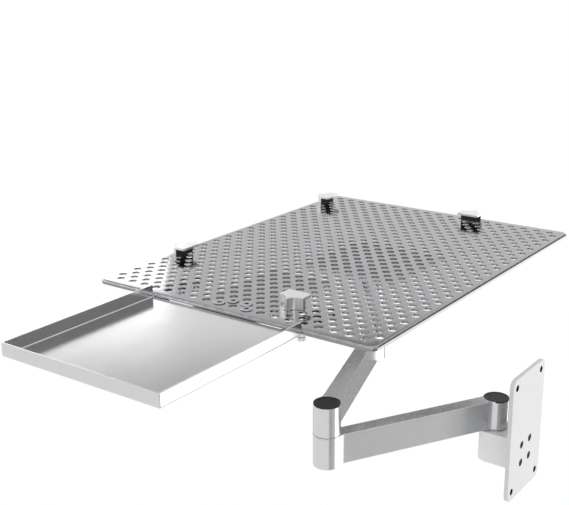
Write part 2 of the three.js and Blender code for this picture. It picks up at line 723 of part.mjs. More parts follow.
const stand = new THREE.Group();
stand.name = "wall_laptop_stand";
const lower = lowerArm();
const upper = upperArm();
const headGroup = head();
const tilting = tiltHead();
tilting.add(laptopTray());
headGroup.add(tilting);
upper.add(headGroup);
lower.add(upper);
stand.add(wallSide(), lower);

export default stand;
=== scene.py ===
"""Looks of the wall-mounted laptop stand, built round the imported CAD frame.

Lengths in this file are millimetres in each piece's own space, and become metres when a mesh is made.
"""
import json
import math

import bpy
from mathutils import Matrix, Vector
from mathutils.geometry import delaunay_2d_cdt

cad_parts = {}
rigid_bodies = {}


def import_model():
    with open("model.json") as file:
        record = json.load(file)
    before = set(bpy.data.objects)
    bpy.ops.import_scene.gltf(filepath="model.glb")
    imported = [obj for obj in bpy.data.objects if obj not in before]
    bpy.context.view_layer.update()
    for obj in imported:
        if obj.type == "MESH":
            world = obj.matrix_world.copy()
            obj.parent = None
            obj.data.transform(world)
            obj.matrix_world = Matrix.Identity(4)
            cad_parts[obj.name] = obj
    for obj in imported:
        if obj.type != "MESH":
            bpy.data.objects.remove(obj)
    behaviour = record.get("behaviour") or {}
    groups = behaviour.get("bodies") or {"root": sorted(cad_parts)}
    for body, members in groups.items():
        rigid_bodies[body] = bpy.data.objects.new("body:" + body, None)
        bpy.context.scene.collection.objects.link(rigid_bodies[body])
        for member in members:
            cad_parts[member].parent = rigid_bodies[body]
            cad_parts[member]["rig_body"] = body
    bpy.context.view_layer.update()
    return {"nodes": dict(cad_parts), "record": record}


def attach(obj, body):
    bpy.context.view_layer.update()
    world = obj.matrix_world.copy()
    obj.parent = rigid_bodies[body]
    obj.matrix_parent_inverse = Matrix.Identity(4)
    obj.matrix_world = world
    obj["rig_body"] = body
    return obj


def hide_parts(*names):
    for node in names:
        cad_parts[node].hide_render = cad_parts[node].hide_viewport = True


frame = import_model()

MM = 0.001
FULL = 2 * math.pi
QUARTER = math.pi / 2

# Sizes that repeat the CAD part
FIT = 0.3
SEAT = 0.15
WALL_PIVOT = 33.2
LOWER_LINK, UPPER_LINK = 186.6, 185.0
LOWER_TURN, UPPER_TURN = math.radians(-29.73), math.radians(198.3)
BLOCK_TOP, BLOCK_TALL = -5.1, 32.4
HUB_R, HUB_TALL = 12.7, 30.4
BAR_HALF, BAR_LIFT, FILLET = 7.4, 1.0, 11.0
WASHER, WASHER_BORE = 1.0, 6.5
STACK = 2 * SEAT + WASHER
CAP_THICK, CAP_PLUG = 1.2, 1.4
ROOM_R, ROOM_DEEP = 10.0, 8.2
PIN_R, PIN_HEAD_R, PIN_SUNK, PIN_HEAD_TALL = 6.0, 9.0, 0.6, 6.0
PIN_TIP_R, PIN_TIP = 5.0, 6.0
BUSH_WALL = 1.7
PIVOT_FLOOR = HUB_TALL - CAP_THICK - ROOM_DEEP
PIN_ROOM = PIN_SUNK + PIN_HEAD_TALL + SEAT
TILT_RISE = 58.7
DECK_W, DECK_D, DECK_SHEET, RIM_TALL, RIM_WALL, DECK_CORNER = 424.0, 318.7, 2.0, 4.3, 2.0, 9.0
DECK_BACK = 128.7
DECK_UNDER = 20.0
NOTCH = 180.0
HOLE_R, ROW_PITCH, HOLE_PITCH, ROWS, OUTERMOST = 4.0, 10.42, 15.75, 39, 9.5
RIVETS = [(0, 1), (0, -1), (1, 0.5), (1, -0.5)]
CLAMPS = [
    ("clamp_right", 2, 3, math.pi),
    ("clamp_front_right", 9, -OUTERMOST, QUARTER),
    ("clamp_front_left", 35, -OUTERMOST, QUARTER),
    ("clamp_left", 38, 3, 0.0),
]

# Sizes that go a little beyond the CAD part's
WASHER_PROUD = 0.3  # past the hubs
NOTCH_LIP = 0.62  # the share of the rim's depth that stays above the mouse tray

# Where each group of pieces stands
AT_WALL = Matrix.Identity(4)


def shifted(x, y, z, turn=0.0):
    return Matrix.Translation((x, y, z)) @ Matrix.Rotation(turn, 4, "Z")


AT_BLOCK = shifted(0, -WALL_PIVOT, BLOCK_TOP - BLOCK_TALL)
AT_LOWER = shifted(0, -WALL_PIVOT, BLOCK_TOP + STACK, LOWER_TURN)
AT_UPPER = AT_LOWER @ shifted(LOWER_LINK, 0, HUB_TALL + STACK, UPPER_TURN - LOWER_TURN)
AT_HEAD = AT_UPPER @ shifted(UPPER_LINK, 0, HUB_TALL, -UPPER_TURN)
AT_TILT = AT_HEAD @ shifted(0, 0, TILT_RISE)
AT_TRAY = AT_TILT @ shifted(0, DECK_BACK - DECK_D / 2, DECK_UNDER)


# Plane outlines. A loop runs with the material on its left: outer loops anticlockwise, holes clockwise.

TINY = 1e-6
NEARLY_STRAIGHT = math.radians(170)
SIDE_SHARE = 0.45  # the most of a side that one rounding takes
MIDWAY = 0.3  # where the worn middle of a bevel lies, as a share of the bevel
RUN = 2.0  # how far a profile's flat ends reach in while its corners are rounded
CORNER_STEPS, FINE_CORNER_STEPS = 8, 10


def arc(x, y, radius, start, end, steps):
    turns = [start + (end - start) * i / steps for i in range(steps + 1)]
    return [(x + radius * math.cos(a), y + radius * math.sin(a)) for a in turns]


def circle(radius, steps, x=0.0, y=0.0, hole=False):
    points = arc(x, y, radius, 0, FULL, steps)[:-1]
    return points[::-1] if hole else points


def rounded_rectangle(width, depth, corner, steps=CORNER_STEPS):
    x, y = width / 2 - corner, depth / 2 - corner
    points = []
    for i, (sx, sy) in enumerate([(1, 1), (-1, 1), (-1, -1), (1, -1)]):
        points += arc(sx * x, sy * y, corner, i * QUARTER, (i + 1) * QUARTER, steps)
    return points


def inset(loop, distance):
    """The loop moved to its left by a distance."""
    moved = []
    for i, (x, y) in enumerate(loop):
        after = loop[(i + 1) % len(loop)]
        normals = []
        for a, b in ((loop[i - 1], (x, y)), ((x, y), after)):
            dx, dy = b[0] - a[0], b[1] - a[1]
            length = math.hypot(dx, dy)
            if length > TINY:
                normals.append((-dy / length, dx / length))
        nx = sum(n[0] for n in normals)
        ny = sum(n[1] for n in normals)
        scale = distance * len(normals) / max(nx * nx + ny * ny, TINY)
        moved.append((x + nx * scale, y + ny * scale))
    return moved


def soften(points, radius, steps=2, closed=False):
    """Rounds the corners of a profile. Gives (a, b, worn), where worn is 1 in the middle of a rounding."""
    count = len(points)
    soft = []
    for i, (x, y) in enumerate(points):
        if not closed and i in (0, count - 1):
            soft.append((x, y, 0.0))
            continue
        (ax, ay), (bx, by) = points[i - 1], points[(i + 1) % count]
        la, lb = math.hypot(ax - x, ay - y), math.hypot(bx - x, by - y)
        ua, ub = ((ax - x) / la, (ay - y) / la), ((bx - x) / lb, (by - y) / lb)
        corner = math.acos(max(-1.0, min(1.0, ua[0] * ub[0] + ua[1] * ub[1])))
        if corner > NEARLY_STRAIGHT:
            soft.append((x, y, 0.0))
            continue
        reach = min(radius / math.tan(corner / 2), SIDE_SHARE * la, SIDE_SHARE * lb)
        p, q = (x + ua[0] * reach, y + ua[1] * reach), (x + ub[0] * reach, y + ub[1] * reach)
        for s in range(steps + 1):
            t = s / steps
            k = 1 - t
            soft.append((
                k * k * p[0] + 2 * k * t * x + t * t * q[0],
                k * k * p[1] + 2 * k * t * y + t * t * q[1],
                1.0 if 0 < s < steps else 0.0,
            ))
    return soft


def plate_edge(low, high, radius, run=RUN, steps=3):
    """Profile of a plate's rounded edge, as (inset, height, worn)."""
    return soften([(run, low), (0, low), (0, high), (run, high)], radius, steps)[1:-1]


def bevel(radius, z, size):
    """Rows (radius, height, worn) of a hole's bevel above z, or below it where size is negative."""
    wide = abs(size)
    return [(radius + wide, z, 0), (radius + MIDWAY * wide, z + MIDWAY * size, 1), (radius, z + size, 0)]


# Meshes

CREASE = math.radians(32)
BIG_FACES_LEAD = 100
SAME_POINT = 1e-5
EDGE, HOLE_EDGE = 0.6, 0.3
SHEET_EDGE, SHEET_HOLE_EDGE = 0.5, 0.25
SHANK_EDGE, SMALL_EDGE = 0.5, 0.3
TURNED_STEPS, SHANK_STEPS = 48, 32


class Form:
    """Points, faces and wear marks of one mesh, in millimetres."""

    def __init__(self):
        self.points, self.faces, self.worn = [], [], []

    def ring(self, points, worn=0.0):
        start = len(self.points)
        self.points += points
        self.worn += [worn] * len(points)
        return list(range(start, start + len(points)))

    def bridge(self, low, high, closed=True):
        count = len(low)
        for i in range(count if closed else count - 1):
            j = (i + 1) % count
            self.faces.append((low[i], low[j], high[j], high[i]))

    def join(self, rings, closed=True):
        for low, high in zip(rings, rings[1:]):
            self.bridge(low, high, closed)
        return rings

    def fan(self, ring, pole, up):
        for i, a in enumerate(ring):
            b = ring[(i + 1) % len(ring)]
            self.faces.append((a, b, pole) if up else (b, a, pole))

    def fill(self, rings, up=True):
        """Closes the plane area between an outer ring and its holes, which are convex."""
        ids = [i for ring in rings for i in ring]
        owner = [k for k, ring in enumerate(rings) for _ in ring]
        flat = [Vector(self.points[i][:2]) for i in ids]
        edges, start = [], 0
        for ring in rings:
            count = len(ring)
            edges += [(start + k, start + (k + 1) % count) for k in range(count)]
            start += count
        _, _, triangles, origins, _, _ = delaunay_2d_cdt(flat, edges, [], 1, SAME_POINT)
        for triangle in triangles:
            at = [origins[k][0] for k in triangle]
            holes = {owner[k] for k in at}
            if len(holes) == 1 and 0 not in holes:
                continue
            corner = [ids[k] for k in at]
            a, b, c = (self.points[k] for k in corner)
            turn = (b[0] - a[0]) * (c[1] - a[1]) - (b[1] - a[1]) * (c[0] - a[0])
            self.faces.append(tuple(corner) if (turn > 0) == up else tuple(corner[::-1]))

    def wall(self, loop, profile):
        """Rings of a loop, one for each (inset, height, worn) of a profile that runs upward outside."""
        return self.join([self.ring([(x, y, z) for x, y in inset(loop, d)], worn) for d, z, worn in profile])

    def bore(self, rows, steps, x, y):
        """The wall of a round hole, one ring for each (radius, height, worn) of rows that run upward."""
        return self.join([self.ring([(a, b, z) for a, b in circle(radius, steps, x, y, True)], worn)
                          for radius, z, worn in rows])

    def slab(self, loops, low, high, edge, hole_edge=0.0, steps=2):
        """A plate with rounded edges between two heights."""
        tops, bottoms = [], []
        for k, loop in enumerate(loops):
            radius = hole_edge if k else edge
            rings = self.wall(loop, plate_edge(low, high, radius, 2 * radius, steps))
            bottoms.append(rings[0])
            tops.append(rings[-1])
        self.fill(tops, True)
        self.fill(bottoms, False)

    def lathe(self, profile, sides, x=0.0, y=0.0):
        """A round form from (radius, height, worn), run so that the material is on the left."""
        closed = profile[0][0] > 0 and profile[-1][0] > 0
        rings = []
        for radius, z, worn in profile:
            if radius == 0:
                rings.append(self.ring([(x, y, z)]))
            else:
                rings.append(self.ring([(a, b, z) for a, b in circle(radius, sides, x, y)], worn))
        pairs = list(zip(rings, rings[1:])) + ([(rings[-1], rings[0])] if closed else [])
        for low, high in pairs:
            if len(low) == 1:
                self.fan(high, low[0], False)
            elif len(high) == 1:
                self.fan(low, high[0], True)
            else:
                self.bridge(low, high)

    def moved(self, matrix, start=0):
        self.points[start:] = [tuple(matrix @ Vector(p)) for p in self.points[start:]]
        return self


def turned(points, radius, steps=2, sides=TURNED_STEPS):
    form = Form()
    closed = points[0][0] > 0
    form.lathe(soften(points, radius, steps, closed), sides)
    return form


def socket_screw(face, socket, socket_deep, head, head_tall, shank, tip):
    """Outline of a screw from the face of its head, below, to its tip, above."""
    under = face + head_tall
    return [(0, face + socket_deep), (socket, face + socket_deep), (socket, face), (head, face),
            (head, under), (shank, under), (shank, tip), (0, tip)]


def piece(name, form, at, body, material, replaces):
    mesh = bpy.data.meshes.new(name)
    place = Matrix.Scale(MM, 4) @ at
    mesh.from_pydata([place @ Vector(p) for p in form.points], [], form.faces)
    mesh.validate()
    wear = mesh.attributes.new("wear", "FLOAT", "POINT")
    wear.data.foreach_set("value", form.worn)
    mesh.shade_smooth()
    mesh.set_sharp_from_angle(angle=CREASE)
    mesh.materials.append(material)
    obj = bpy.data.objects.new(name, mesh)
    bpy.context.scene.collection.objects.link(obj)
    weighted = obj.modifiers.new("normals", "WEIGHTED_NORMAL")
    weighted.keep_sharp = True
    weighted.weight = BIG_FACES_LEAD
    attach(obj, body)
    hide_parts(replaces)
    return obj


# Materials

NOISE_LOW, NOISE_HIGH = 0.3, 0.7  # nearly all of a noise lies between these
SCUFF_LOW, SCUFF_HIGH, MOST_RUBBED = 0.4, 0.65, 0.7
PATCH_SCALE, SCUFF_SCALE = 35, 160
COAT_ROUGHNESS, SMOOTHEST = 0.2, 0.03
GRAIN_DEPTH = 0.1 * MM
MIX_SHARE, MIX_A, MIX_B, MIX_RESULT = 0, 6, 7, 2  # sockets of a mix node for colours


def node(tree, kind, **values):
    made = tree.nodes.new(kind)
    for key, value in values.items():
        setattr(made, key, value)
    return made


def noise(tree, scale, detail, place):
    made = node(tree, "ShaderNodeTexNoise")
    made.inputs["Scale"].default_value = scale
    made.inputs["Detail"].default_value = detail
    tree.links.new(place, made.inputs["Vector"])
    return made.outputs[0]


def mapped(tree, value, low, high, start=NOISE_LOW, end=NOISE_HIGH):
    made = node(tree, "ShaderNodeMapRange")
    made.inputs["From Min"].default_value = start
    made.inputs["From Max"].default_value = end
    made.inputs["To Min"].default_value = low
    made.inputs["To Max"].default_value = high
    tree.links.new(value, made.inputs[0])
    return made.outputs[0]


def product(tree, a, b):
    made = node(tree, "ShaderNodeMath", operation="MULTIPLY")
    tree.links.new(a, made.inputs[0])
    tree.links.new(b, made.inputs[1])
    return made.outputs[0]


def finish_material(name, colour, worn_colour, roughness, metallic, grain, bump, spread,
                    stretch=(1, 1, 1), rough_spread=0.05, coat=0.0, specular=0.5):
    """A solid finish: patches of tone, fine grain in roughness and relief, and edges that are rubbed."""
    material = bpy.data.materials.new(name)
    material.use_nodes = True
    tree = material.node_tree
    tree.nodes.clear()
    link = tree.links.new
    out = node(tree, "ShaderNodeOutputMaterial")
    shader = node(tree, "ShaderNodeBsdfPrincipled")
    shader.inputs["Metallic"].default_value = metallic
    shader.inputs["Specular IOR Level"].default_value = specular
    if coat:
        shader.inputs["Coat Weight"].default_value = coat
        shader.inputs["Coat Roughness"].default_value = COAT_ROUGHNESS
    link(shader.outputs[0], out.inputs[0])
    where = node(tree, "ShaderNodeTexCoord").outputs["Object"]
    scaled = node(tree, "ShaderNodeMapping")
    scaled.inputs["Scale"].default_value = stretch
    link(where, scaled.inputs[0])
    fine = noise(tree, grain, 2, scaled.outputs[0])

    tone = mapped(tree, noise(tree, PATCH_SCALE, 3, where), 1 - spread, 1 + spread)
    grainy = mapped(tree, fine, 1 - spread / 2, 1 + spread / 2)
    base = node(tree, "ShaderNodeVectorMath", operation="SCALE")
    base.inputs[0].default_value = colour
    link(product(tree, tone, grainy), base.inputs["Scale"])

    marks = node(tree, "ShaderNodeAttribute", attribute_name="wear")
    scuffs = mapped(tree, noise(tree, SCUFF_SCALE, 4, where), 0, MOST_RUBBED, SCUFF_LOW, SCUFF_HIGH)
    mix = node(tree, "ShaderNodeMix", data_type="RGBA")
    link(product(tree, marks.outputs["Fac"], scuffs), mix.inputs[MIX_SHARE])
    link(base.outputs[0], mix.inputs[MIX_A])
    mix.inputs[MIX_B].default_value = (*worn_colour, 1)
    link(mix.outputs[MIX_RESULT], shader.inputs["Base Color"])

    rough = mapped(tree, fine, max(SMOOTHEST, roughness - rough_spread), roughness + rough_spread)
    link(rough, shader.inputs["Roughness"])
    relief = node(tree, "ShaderNodeBump")
    relief.inputs["Strength"].default_value = bump
    relief.inputs["Distance"].default_value = GRAIN_DEPTH
    link(fine, relief.inputs["Height"])
    link(relief.outputs[0], shader.inputs["Normal"])
    return material


def grey(value):
    return (value, value, value)


SATIN = finish_material("satin_aluminium", (0.62, 0.622, 0.63), grey(0.8), 0.24, 1.0,
                        grain=1400, bump=0.10, spread=0.025)
TRAY = finish_material("satin_tray", (0.62, 0.622, 0.63), grey(0.8), 0.17, 1.0,
                       grain=1400, bump=0.05, spread=0.02)
BRUSHED = finish_material("brushed_clamp", (0.76, 0.76, 0.765), grey(0.88), 0.30, 1.0,
                          grain=2200, bump=0.04, spread=0.02, stretch=(1, 1, 0.06), rough_spread=0.03)
DECK = finish_material("grey_deck", (0.265, 0.268, 0.275), grey(0.5), 0.11, 1.0,
                       grain=1600, bump=0.04, spread=0.03, rough_spread=0.03)
PAINT = finish_material("pale_paint", (0.70, 0.705, 0.71), grey(0.6), 0.42, 0.0,
                        grain=2200, bump=0.35, spread=0.02, coat=0.15)
# A darker copy of the pale paint for the wall plate alone: painted shade, as the plate and the bracket wear
# one paint
SHADED_PLATE_PAINT = finish_material("wall_plate_paint_shaded", (0.56, 0.563, 0.57), grey(0.5), 0.42, 0.0,
                              grain=2200, bump=0.35, spread=0.02, coat=0.15)
BRIGHT = finish_material("bright_steel", (0.66, 0.66, 0.67), grey(0.85), 0.2, 1.0,
                         grain=1500, bump=0.1, spread=0.03)
# A darker copy of bright steel, the rivets' own metal: painted shade on the rivet heads
RIVET = finish_material("rivet_steel_shaded", (0.36, 0.36, 0.37), grey(0.7), 0.22, 1.0,
                        grain=1500, bump=0.1, spread=0.05)
BLACK_STEEL = finish_material("black_steel", (0.02, 0.02, 0.022), grey(0.25), 0.4, 0.6,
                              grain=1800, bump=0.2, spread=0.15, specular=0.2)
PLASTIC = finish_material("black_plastic", (0.018, 0.018, 0.020), grey(0.06), 0.42, 0.0,
                          grain=2500, bump=0.4, spread=0.12, specular=0.22)
RUBBER = finish_material("black_rubber", (0.012, 0.012, 0.013), grey(0.04), 0.75, 0.0,
                         grain=1800, bump=0.6, spread=0.2)
BRONZE = finish_material("bronze", (0.42, 0.27, 0.12), (0.6, 0.42, 0.2), 0.35, 1.0,
                         grain=1500, bump=0.2, spread=0.1)

SLOT_FINISH = {
    "satin_aluminium": SATIN,
    "pale_painted_steel": PAINT,
    "grey_perforated_steel": DECK,
    "bright_steel": BRIGHT,
    "black_steel": BLACK_STEEL,
    "black_plastic": PLASTIC,
    "black_rubber": RUBBER,
    "bronze": BRONZE,
}

# Every CAD node that stays takes the finish of its slot
for entry in frame["record"]["subparts"]:
    kept = frame["nodes"][entry["node"]].data
    kept.materials.clear()
    kept.materials.append(SLOT_FINISH[entry["material_slot"]])


# Wall side

PLATE_W, PLATE_TALL, PLATE_THICK, PLATE_CORNER, PLATE_EDGE = 74.0, 128.0, 4.2, 8.0, 0.7
WALL_HOLE_R, WALL_HOLE_X, WALL_HOLE_Z, WALL_HOLE_EDGE = 3.25, 28.0, 54.5, 0.35
BOLT_R, BOLT_HEAD_R, BOLT_HEAD_TALL, BOLT_SUNK, BOLT_LONG, BOLT_HALF_PITCH = 2.0, 3.5, 2.0, 0.8, 14.0, 9.5
BOLT_SOCKET_R, BOLT_SOCKET_DEEP, BOLT_EDGE, BOLT_HOLE_EDGE = 1.6, 1.2, 0.25, 0.3
BOLT_HOLE_R = BOLT_HEAD_R + FIT
BLOCK_HALF, BLOCK_CORNER, BLOCK_EDGE, BLOCK_BORE_EDGE = 17.0, 11.0, 0.9, 0.4
BLOCK_BOTTOM = BLOCK_TOP - BLOCK_TALL
BLOCK_MIDDLE = BLOCK_TOP - BLOCK_TALL / 2
BOLTS = [(sx * BOLT_HALF_PITCH, BLOCK_MIDDLE + sz * BOLT_HALF_PITCH) for sx in (-1, 1) for sz in (-1, 1)]
WALL_HOLES = [(sx * WALL_HOLE_X, sz * WALL_HOLE_Z) for sx in (-1, 1) for sz in (-1, 1)]
AWAY_FROM_WALL = Matrix.Rotation(QUARTER, 4, "X")  # (x, y, z) becomes (x, -z, y)
HOLE_STEPS, BORE_STEPS, BLOCK_STEPS = 28, 48, 14
# Slot of the near-black steel that paints shade into the wall plate's holes
SHADED_BORE_SLOT = 1
BORE_MARGIN = 0.02


def wall_plate_form():
    form = Form()
    tops, bottoms = [], []
    outline = rounded_rectangle(PLATE_W, PLATE_TALL, PLATE_CORNER, FINE_CORNER_STEPS)
    walls = [form.wall(outline, plate_edge(0, PLATE_THICK, PLATE_EDGE))]
    for x, z in WALL_HOLES:
        hole = circle(WALL_HOLE_R, HOLE_STEPS, x, z, True)
        walls.append(form.wall(hole, plate_edge(0, PLATE_THICK, WALL_HOLE_EDGE)))
    thin, floor = BOLT_R + FIT, BOLT_SUNK + BOLT_HEAD_TALL + SEAT
    for x, z in BOLTS:
        rows = bevel(BOLT_HOLE_R, 0, BOLT_HOLE_EDGE)
        rows += [(BOLT_HOLE_R, floor, 0), (thin, floor, 0), (thin, PLATE_THICK, 0)]
        walls.append(form.bore(rows, HOLE_STEPS, x, z))
    for rings in walls:
        bottoms.append(rings[0])
        tops.append(rings[-1])
    form.fill(tops, True)
    form.fill(bottoms, False)
    return form.moved(AWAY_FROM_WALL)


def hinge_bracket_form():
    form = Form()
    middle, front = BLOCK_HALF - BLOCK_CORNER, BLOCK_CORNER - WALL_PIVOT - HUB_R
    back = -PLATE_THICK - SEAT
    outline = arc(-middle, front, BLOCK_CORNER, math.pi, 3 * QUARTER, BLOCK_STEPS)
    outline += arc(middle, front, BLOCK_CORNER, -QUARTER, 0, BLOCK_STEPS)
    outline += [(BLOCK_HALF, back), (-BLOCK_HALF, back)]
    outside = form.wall(outline, plate_edge(BLOCK_BOTTOM, BLOCK_TOP, BLOCK_EDGE))
    rows = bevel(ROOM_R, BLOCK_BOTTOM, BLOCK_BORE_EDGE)
    rows += [(ROOM_R, BLOCK_BOTTOM + PIN_ROOM, 0), (PIN_R + FIT, BLOCK_BOTTOM + PIN_ROOM, 0),
             (PIN_R + FIT, BLOCK_TOP, 0)]
    inside = form.bore(rows, BORE_STEPS, 0, -WALL_PIVOT)
    form.fill([outside[-1], inside[-1]], True)
    form.fill([outside[0], inside[0]], False)
    return form


plate = piece("fine_wall_plate", wall_plate_form(), AT_WALL, "wall_side", SHADED_PLATE_PAINT,
              "wall_plate")
# The holes' bores take near-black steel: painted shade inside the holes, darker than bare steel's own tone
plate.data.materials.append(BLACK_STEEL)
drilled = [(x, z, WALL_HOLE_R) for x, z in WALL_HOLES] + [(x, z, BOLT_HOLE_R) for x, z in BOLTS]
for polygon in plate.data.polygons:
    at = polygon.center / MM
    if any(math.hypot(at.x - x, at.z - z) < radius + BORE_MARGIN for x, z, radius in drilled):
        polygon.material_index = SHADED_BORE_SLOT

for index, (x, z) in enumerate(BOLTS):
    profile = socket_screw(BOLT_SUNK, BOLT_SOCKET_R, BOLT_SOCKET_DEEP, BOLT_HEAD_R, BOLT_HEAD_TALL, BOLT_R,
                           BOLT_SUNK + BOLT_HEAD_TALL + BOLT_LONG)
    form = turned(profile, BOLT_EDGE, 2, HOLE_STEPS).moved(AWAY_FROM_WALL @ shifted(x, z, 0))
    piece(f"fine_bracket_bolt_{index + 1}", form, AT_WALL, "wall_side", BLACK_STEEL,
          f"bracket_bolt_{index + 1}")
piece("fine_hinge_bracket", hinge_bracket_form(), AT_WALL, "wall_side", PAINT,
      "hinge_bracket")


# Pivots

PIN_EDGE, WASHER_EDGE = 0.6, 0.2
HUB_STEPS = 72


def pivot_pin(name, at, body, nut_seat, replaces):
    shoulder = PIN_SUNK + PIN_HEAD_TALL
    tip = nut_seat + SEAT + PIN_TIP
    profile = [(0, PIN_SUNK), (PIN_HEAD_R, PIN_SUNK), (PIN_HEAD_R, shoulder), (PIN_R, shoulder),
               (PIN_R, nut_seat), (PIN_TIP_R, nut_seat), (PIN_TIP_R, tip), (0, tip)]
    piece(name, turned(profile, PIN_EDGE), at, body, BRIGHT, replaces)


def washer(name, at, body, replaces):
    rim = HUB_R + WASHER_PROUD
    profile = [(WASHER_BORE, 0), (rim, 0), (rim, WASHER), (WASHER_BORE, WASHER)]
    piece(name, turned(profile, WASHER_EDGE, 2, HUB_STEPS), at, body, BRIGHT, replaces)


pivot_pin("fine_wall_pivot_pin", AT_BLOCK, "wall_side", BLOCK_TALL + STACK + PIVOT_FLOOR, "wall_pivot_pin")
washer("fine_wall_washer", shifted(0, -WALL_PIVOT, BLOCK_TOP + SEAT), "wall_side", "wall_thrust_washer")
at_elbow = AT_LOWER @ shifted(LOWER_LINK, 0, 0)
pivot_pin("fine_elbow_pin", at_elbow, "lower_link", HUB_TALL + STACK + PIVOT_FLOOR, "elbow_pin")
washer("fine_elbow_washer", at_elbow @ shifted(0, 0, HUB_TALL + SEAT), "lower_link", "elbow_thrust_washer")
washer("fine_head_washer", AT_HEAD @ shifted(0, 0, SEAT), "head", "head_thrust_washer")


# Arm links

BUSH_BORE = PIN_R + FIT + BUSH_WALL + FIT
NEAR_HUB_EDGE, FAR_HUB_EDGE, BAR_EDGE = 0.6, 0.7, 0.55
BAR_SINK = 0.25
FADE_START, FADE_LONG = 6.0, 9.0
FILLET_STEPS, BAR_END_STEPS = 10, 16


def link_form(link, far_bore, far_room):
    """Two hubs and a filleted bar. The bar's ends reach a hair into the hubs."""
    form = Form()
    capped = HUB_TALL - CAP_THICK - SEAT
    near = [(BUSH_BORE, 0), (HUB_R, 0), (HUB_R, capped), (ROOM_R, capped), (ROOM_R, PIVOT_FLOOR),
            (BUSH_BORE, PIVOT_FLOOR)]
    form.lathe(soften(near, NEAR_HUB_EDGE, 3, True), HUB_STEPS)
    far = [(far_bore, far_room), (ROOM_R, far_room), (ROOM_R, 0), (HUB_R, 0), (HUB_R, HUB_TALL),
           (far_bore, HUB_TALL)]
    form.lathe(soften(far, FAR_HUB_EDGE, 3, True), HUB_STEPS, link)
    half = BAR_HALF + FILLET
    across = HUB_R + FILLET
    start = math.sqrt(across ** 2 - half ** 2)
    lean = math.asin(half / across)
    side = arc(start, half, FILLET, math.pi + lean, 3 * QUARTER, FILLET_STEPS)
    side += arc(link - start, half, FILLET, -QUARTER, -lean, FILLET_STEPS)
    near_end = arc(0, 0, HUB_R - BAR_SINK, -lean, lean, BAR_END_STEPS)
    far_end = [(link - x, y) for x, y in near_end]
    outline = [(x, -y) for x, y in side] + far_end + side[::-1] + near_end[::-1]
    one_in = inset(outline, 1.0)
    rings = []
    for d, z, worn in plate_edge(BAR_LIFT, HUB_TALL, BAR_EDGE):
        row = []
        for (x, y), (u, v) in zip(outline, one_in):
            # The rounding fades out where the bar meets a hub
            nearest = min(x, link - x)
            k = d * max(0.0, min(1.0, (nearest - FADE_START) / FADE_LONG))
            row.append((x + (u - x) * k, y + (v - y) * k, z))
        rings.append(form.ring(row, worn))
    form.join(rings)
    form.fill([rings[0]], False)
    form.fill([rings[-1]], True)
    return form


piece("fine_lower_arm", link_form(LOWER_LINK, PIN_R + FIT, PIN_ROOM), AT_LOWER, "lower_link",
      SATIN, "lower_arm")
piece("fine_upper_arm", link_form(UPPER_LINK, BUSH_BORE, ROOM_DEEP), AT_UPPER, "upper_link",
      SATIN, "upper_arm")

CAP_R, CAP_PLUG_R, CAP_EDGE = HUB_R - 0.1, ROOM_R - 2 * FIT, 0.35
CAP_RIM, CAP_SLOPE, CAP_DISH = 1.6, 0.6, 0.35


def hub_cap(name, at, body, replaces):
    face, dished = HUB_TALL - CAP_THICK, HUB_TALL - CAP_DISH
    inner = CAP_R - CAP_RIM
    profile = [(0, face - CAP_PLUG), (CAP_PLUG_R, face - CAP_PLUG), (CAP_PLUG_R, face), (CAP_R, face),
               (CAP_R, HUB_TALL), (inner, HUB_TALL), (inner - CAP_SLOPE, dished), (0, dished)]
    piece(name, turned(profile, CAP_EDGE, 3, HUB_STEPS), at, body, PLASTIC, replaces)


hub_cap("fine_wall_hub_cap", AT_LOWER, "lower_link", "wall_hub_cap")
hub_cap("fine_elbow_hub_cap", AT_UPPER, "upper_link", "elbow_hub_cap")


# Tilt head

LUG_THICK, LUG_R, LUG_BELOW = 12.0, 10.0, 14.0
POST_R, COLLAR_R, COLLAR_TALL = 10.0, 12.0, 4.0
TILT_BOLT_R, TILT_FLATS, TILT_HEAD_TALL, TILT_NUT_TALL, TILT_TIP = 4.0, 13.0, 5.5, 6.5, 1.5
TILT_HOLE_R = TILT_BOLT_R + FIT
RETAINER_R, RETAINER_HEAD_R, RETAINER_HEAD_TALL, RETAINER_REACH = 4.0, 9.0, 3.0, 14.0
RETAINER_SOCKET_R, RETAINER_SOCKET_DEEP = 2.4, 1.8
RETAINER_EDGE = 0.4
YOKE_EAR, EAR_R, YOKE_RISE, YOKE_BASE, YOKE_W, YOKE_D, YOKE_CORNER = 5.0, 10.0, 12.7, 4.0, 60.0, 44.0, 4.0
EAR_SUNK = 0.6
DISC_THICK = 1.5
MOUNT_W, MOUNT_CORNER, MOUNT_THICK = 110.0, 6.0, 3.0
MOUNT_X, MOUNT_Y = 22.0, 15.0
SCREW_R, SCREW_HEAD_R, SCREW_HEAD_TALL, SCREW_SOCKET_R, SCREW_SOCKET_DEEP = 2.0, 4.0, 2.5, 1.3, 1.2
OVERLAP = 1.0  # how far one shape of a piece reaches into the next
EYE_STEPS, LUG_STEPS, EAR_STEPS, POST_STEPS, SCREW_STEPS, SCREW_HOLE_STEPS = 28, 20, 24, 56, 28, 20
Y_Z_PLANE = Matrix(((0, 0, 1, 0), (1, 0, 0, 0), (0, 1, 0, 0), (0, 0, 0, 1)))
ALONG_X = Matrix.Rotation(QUARTER, 4, "Y")

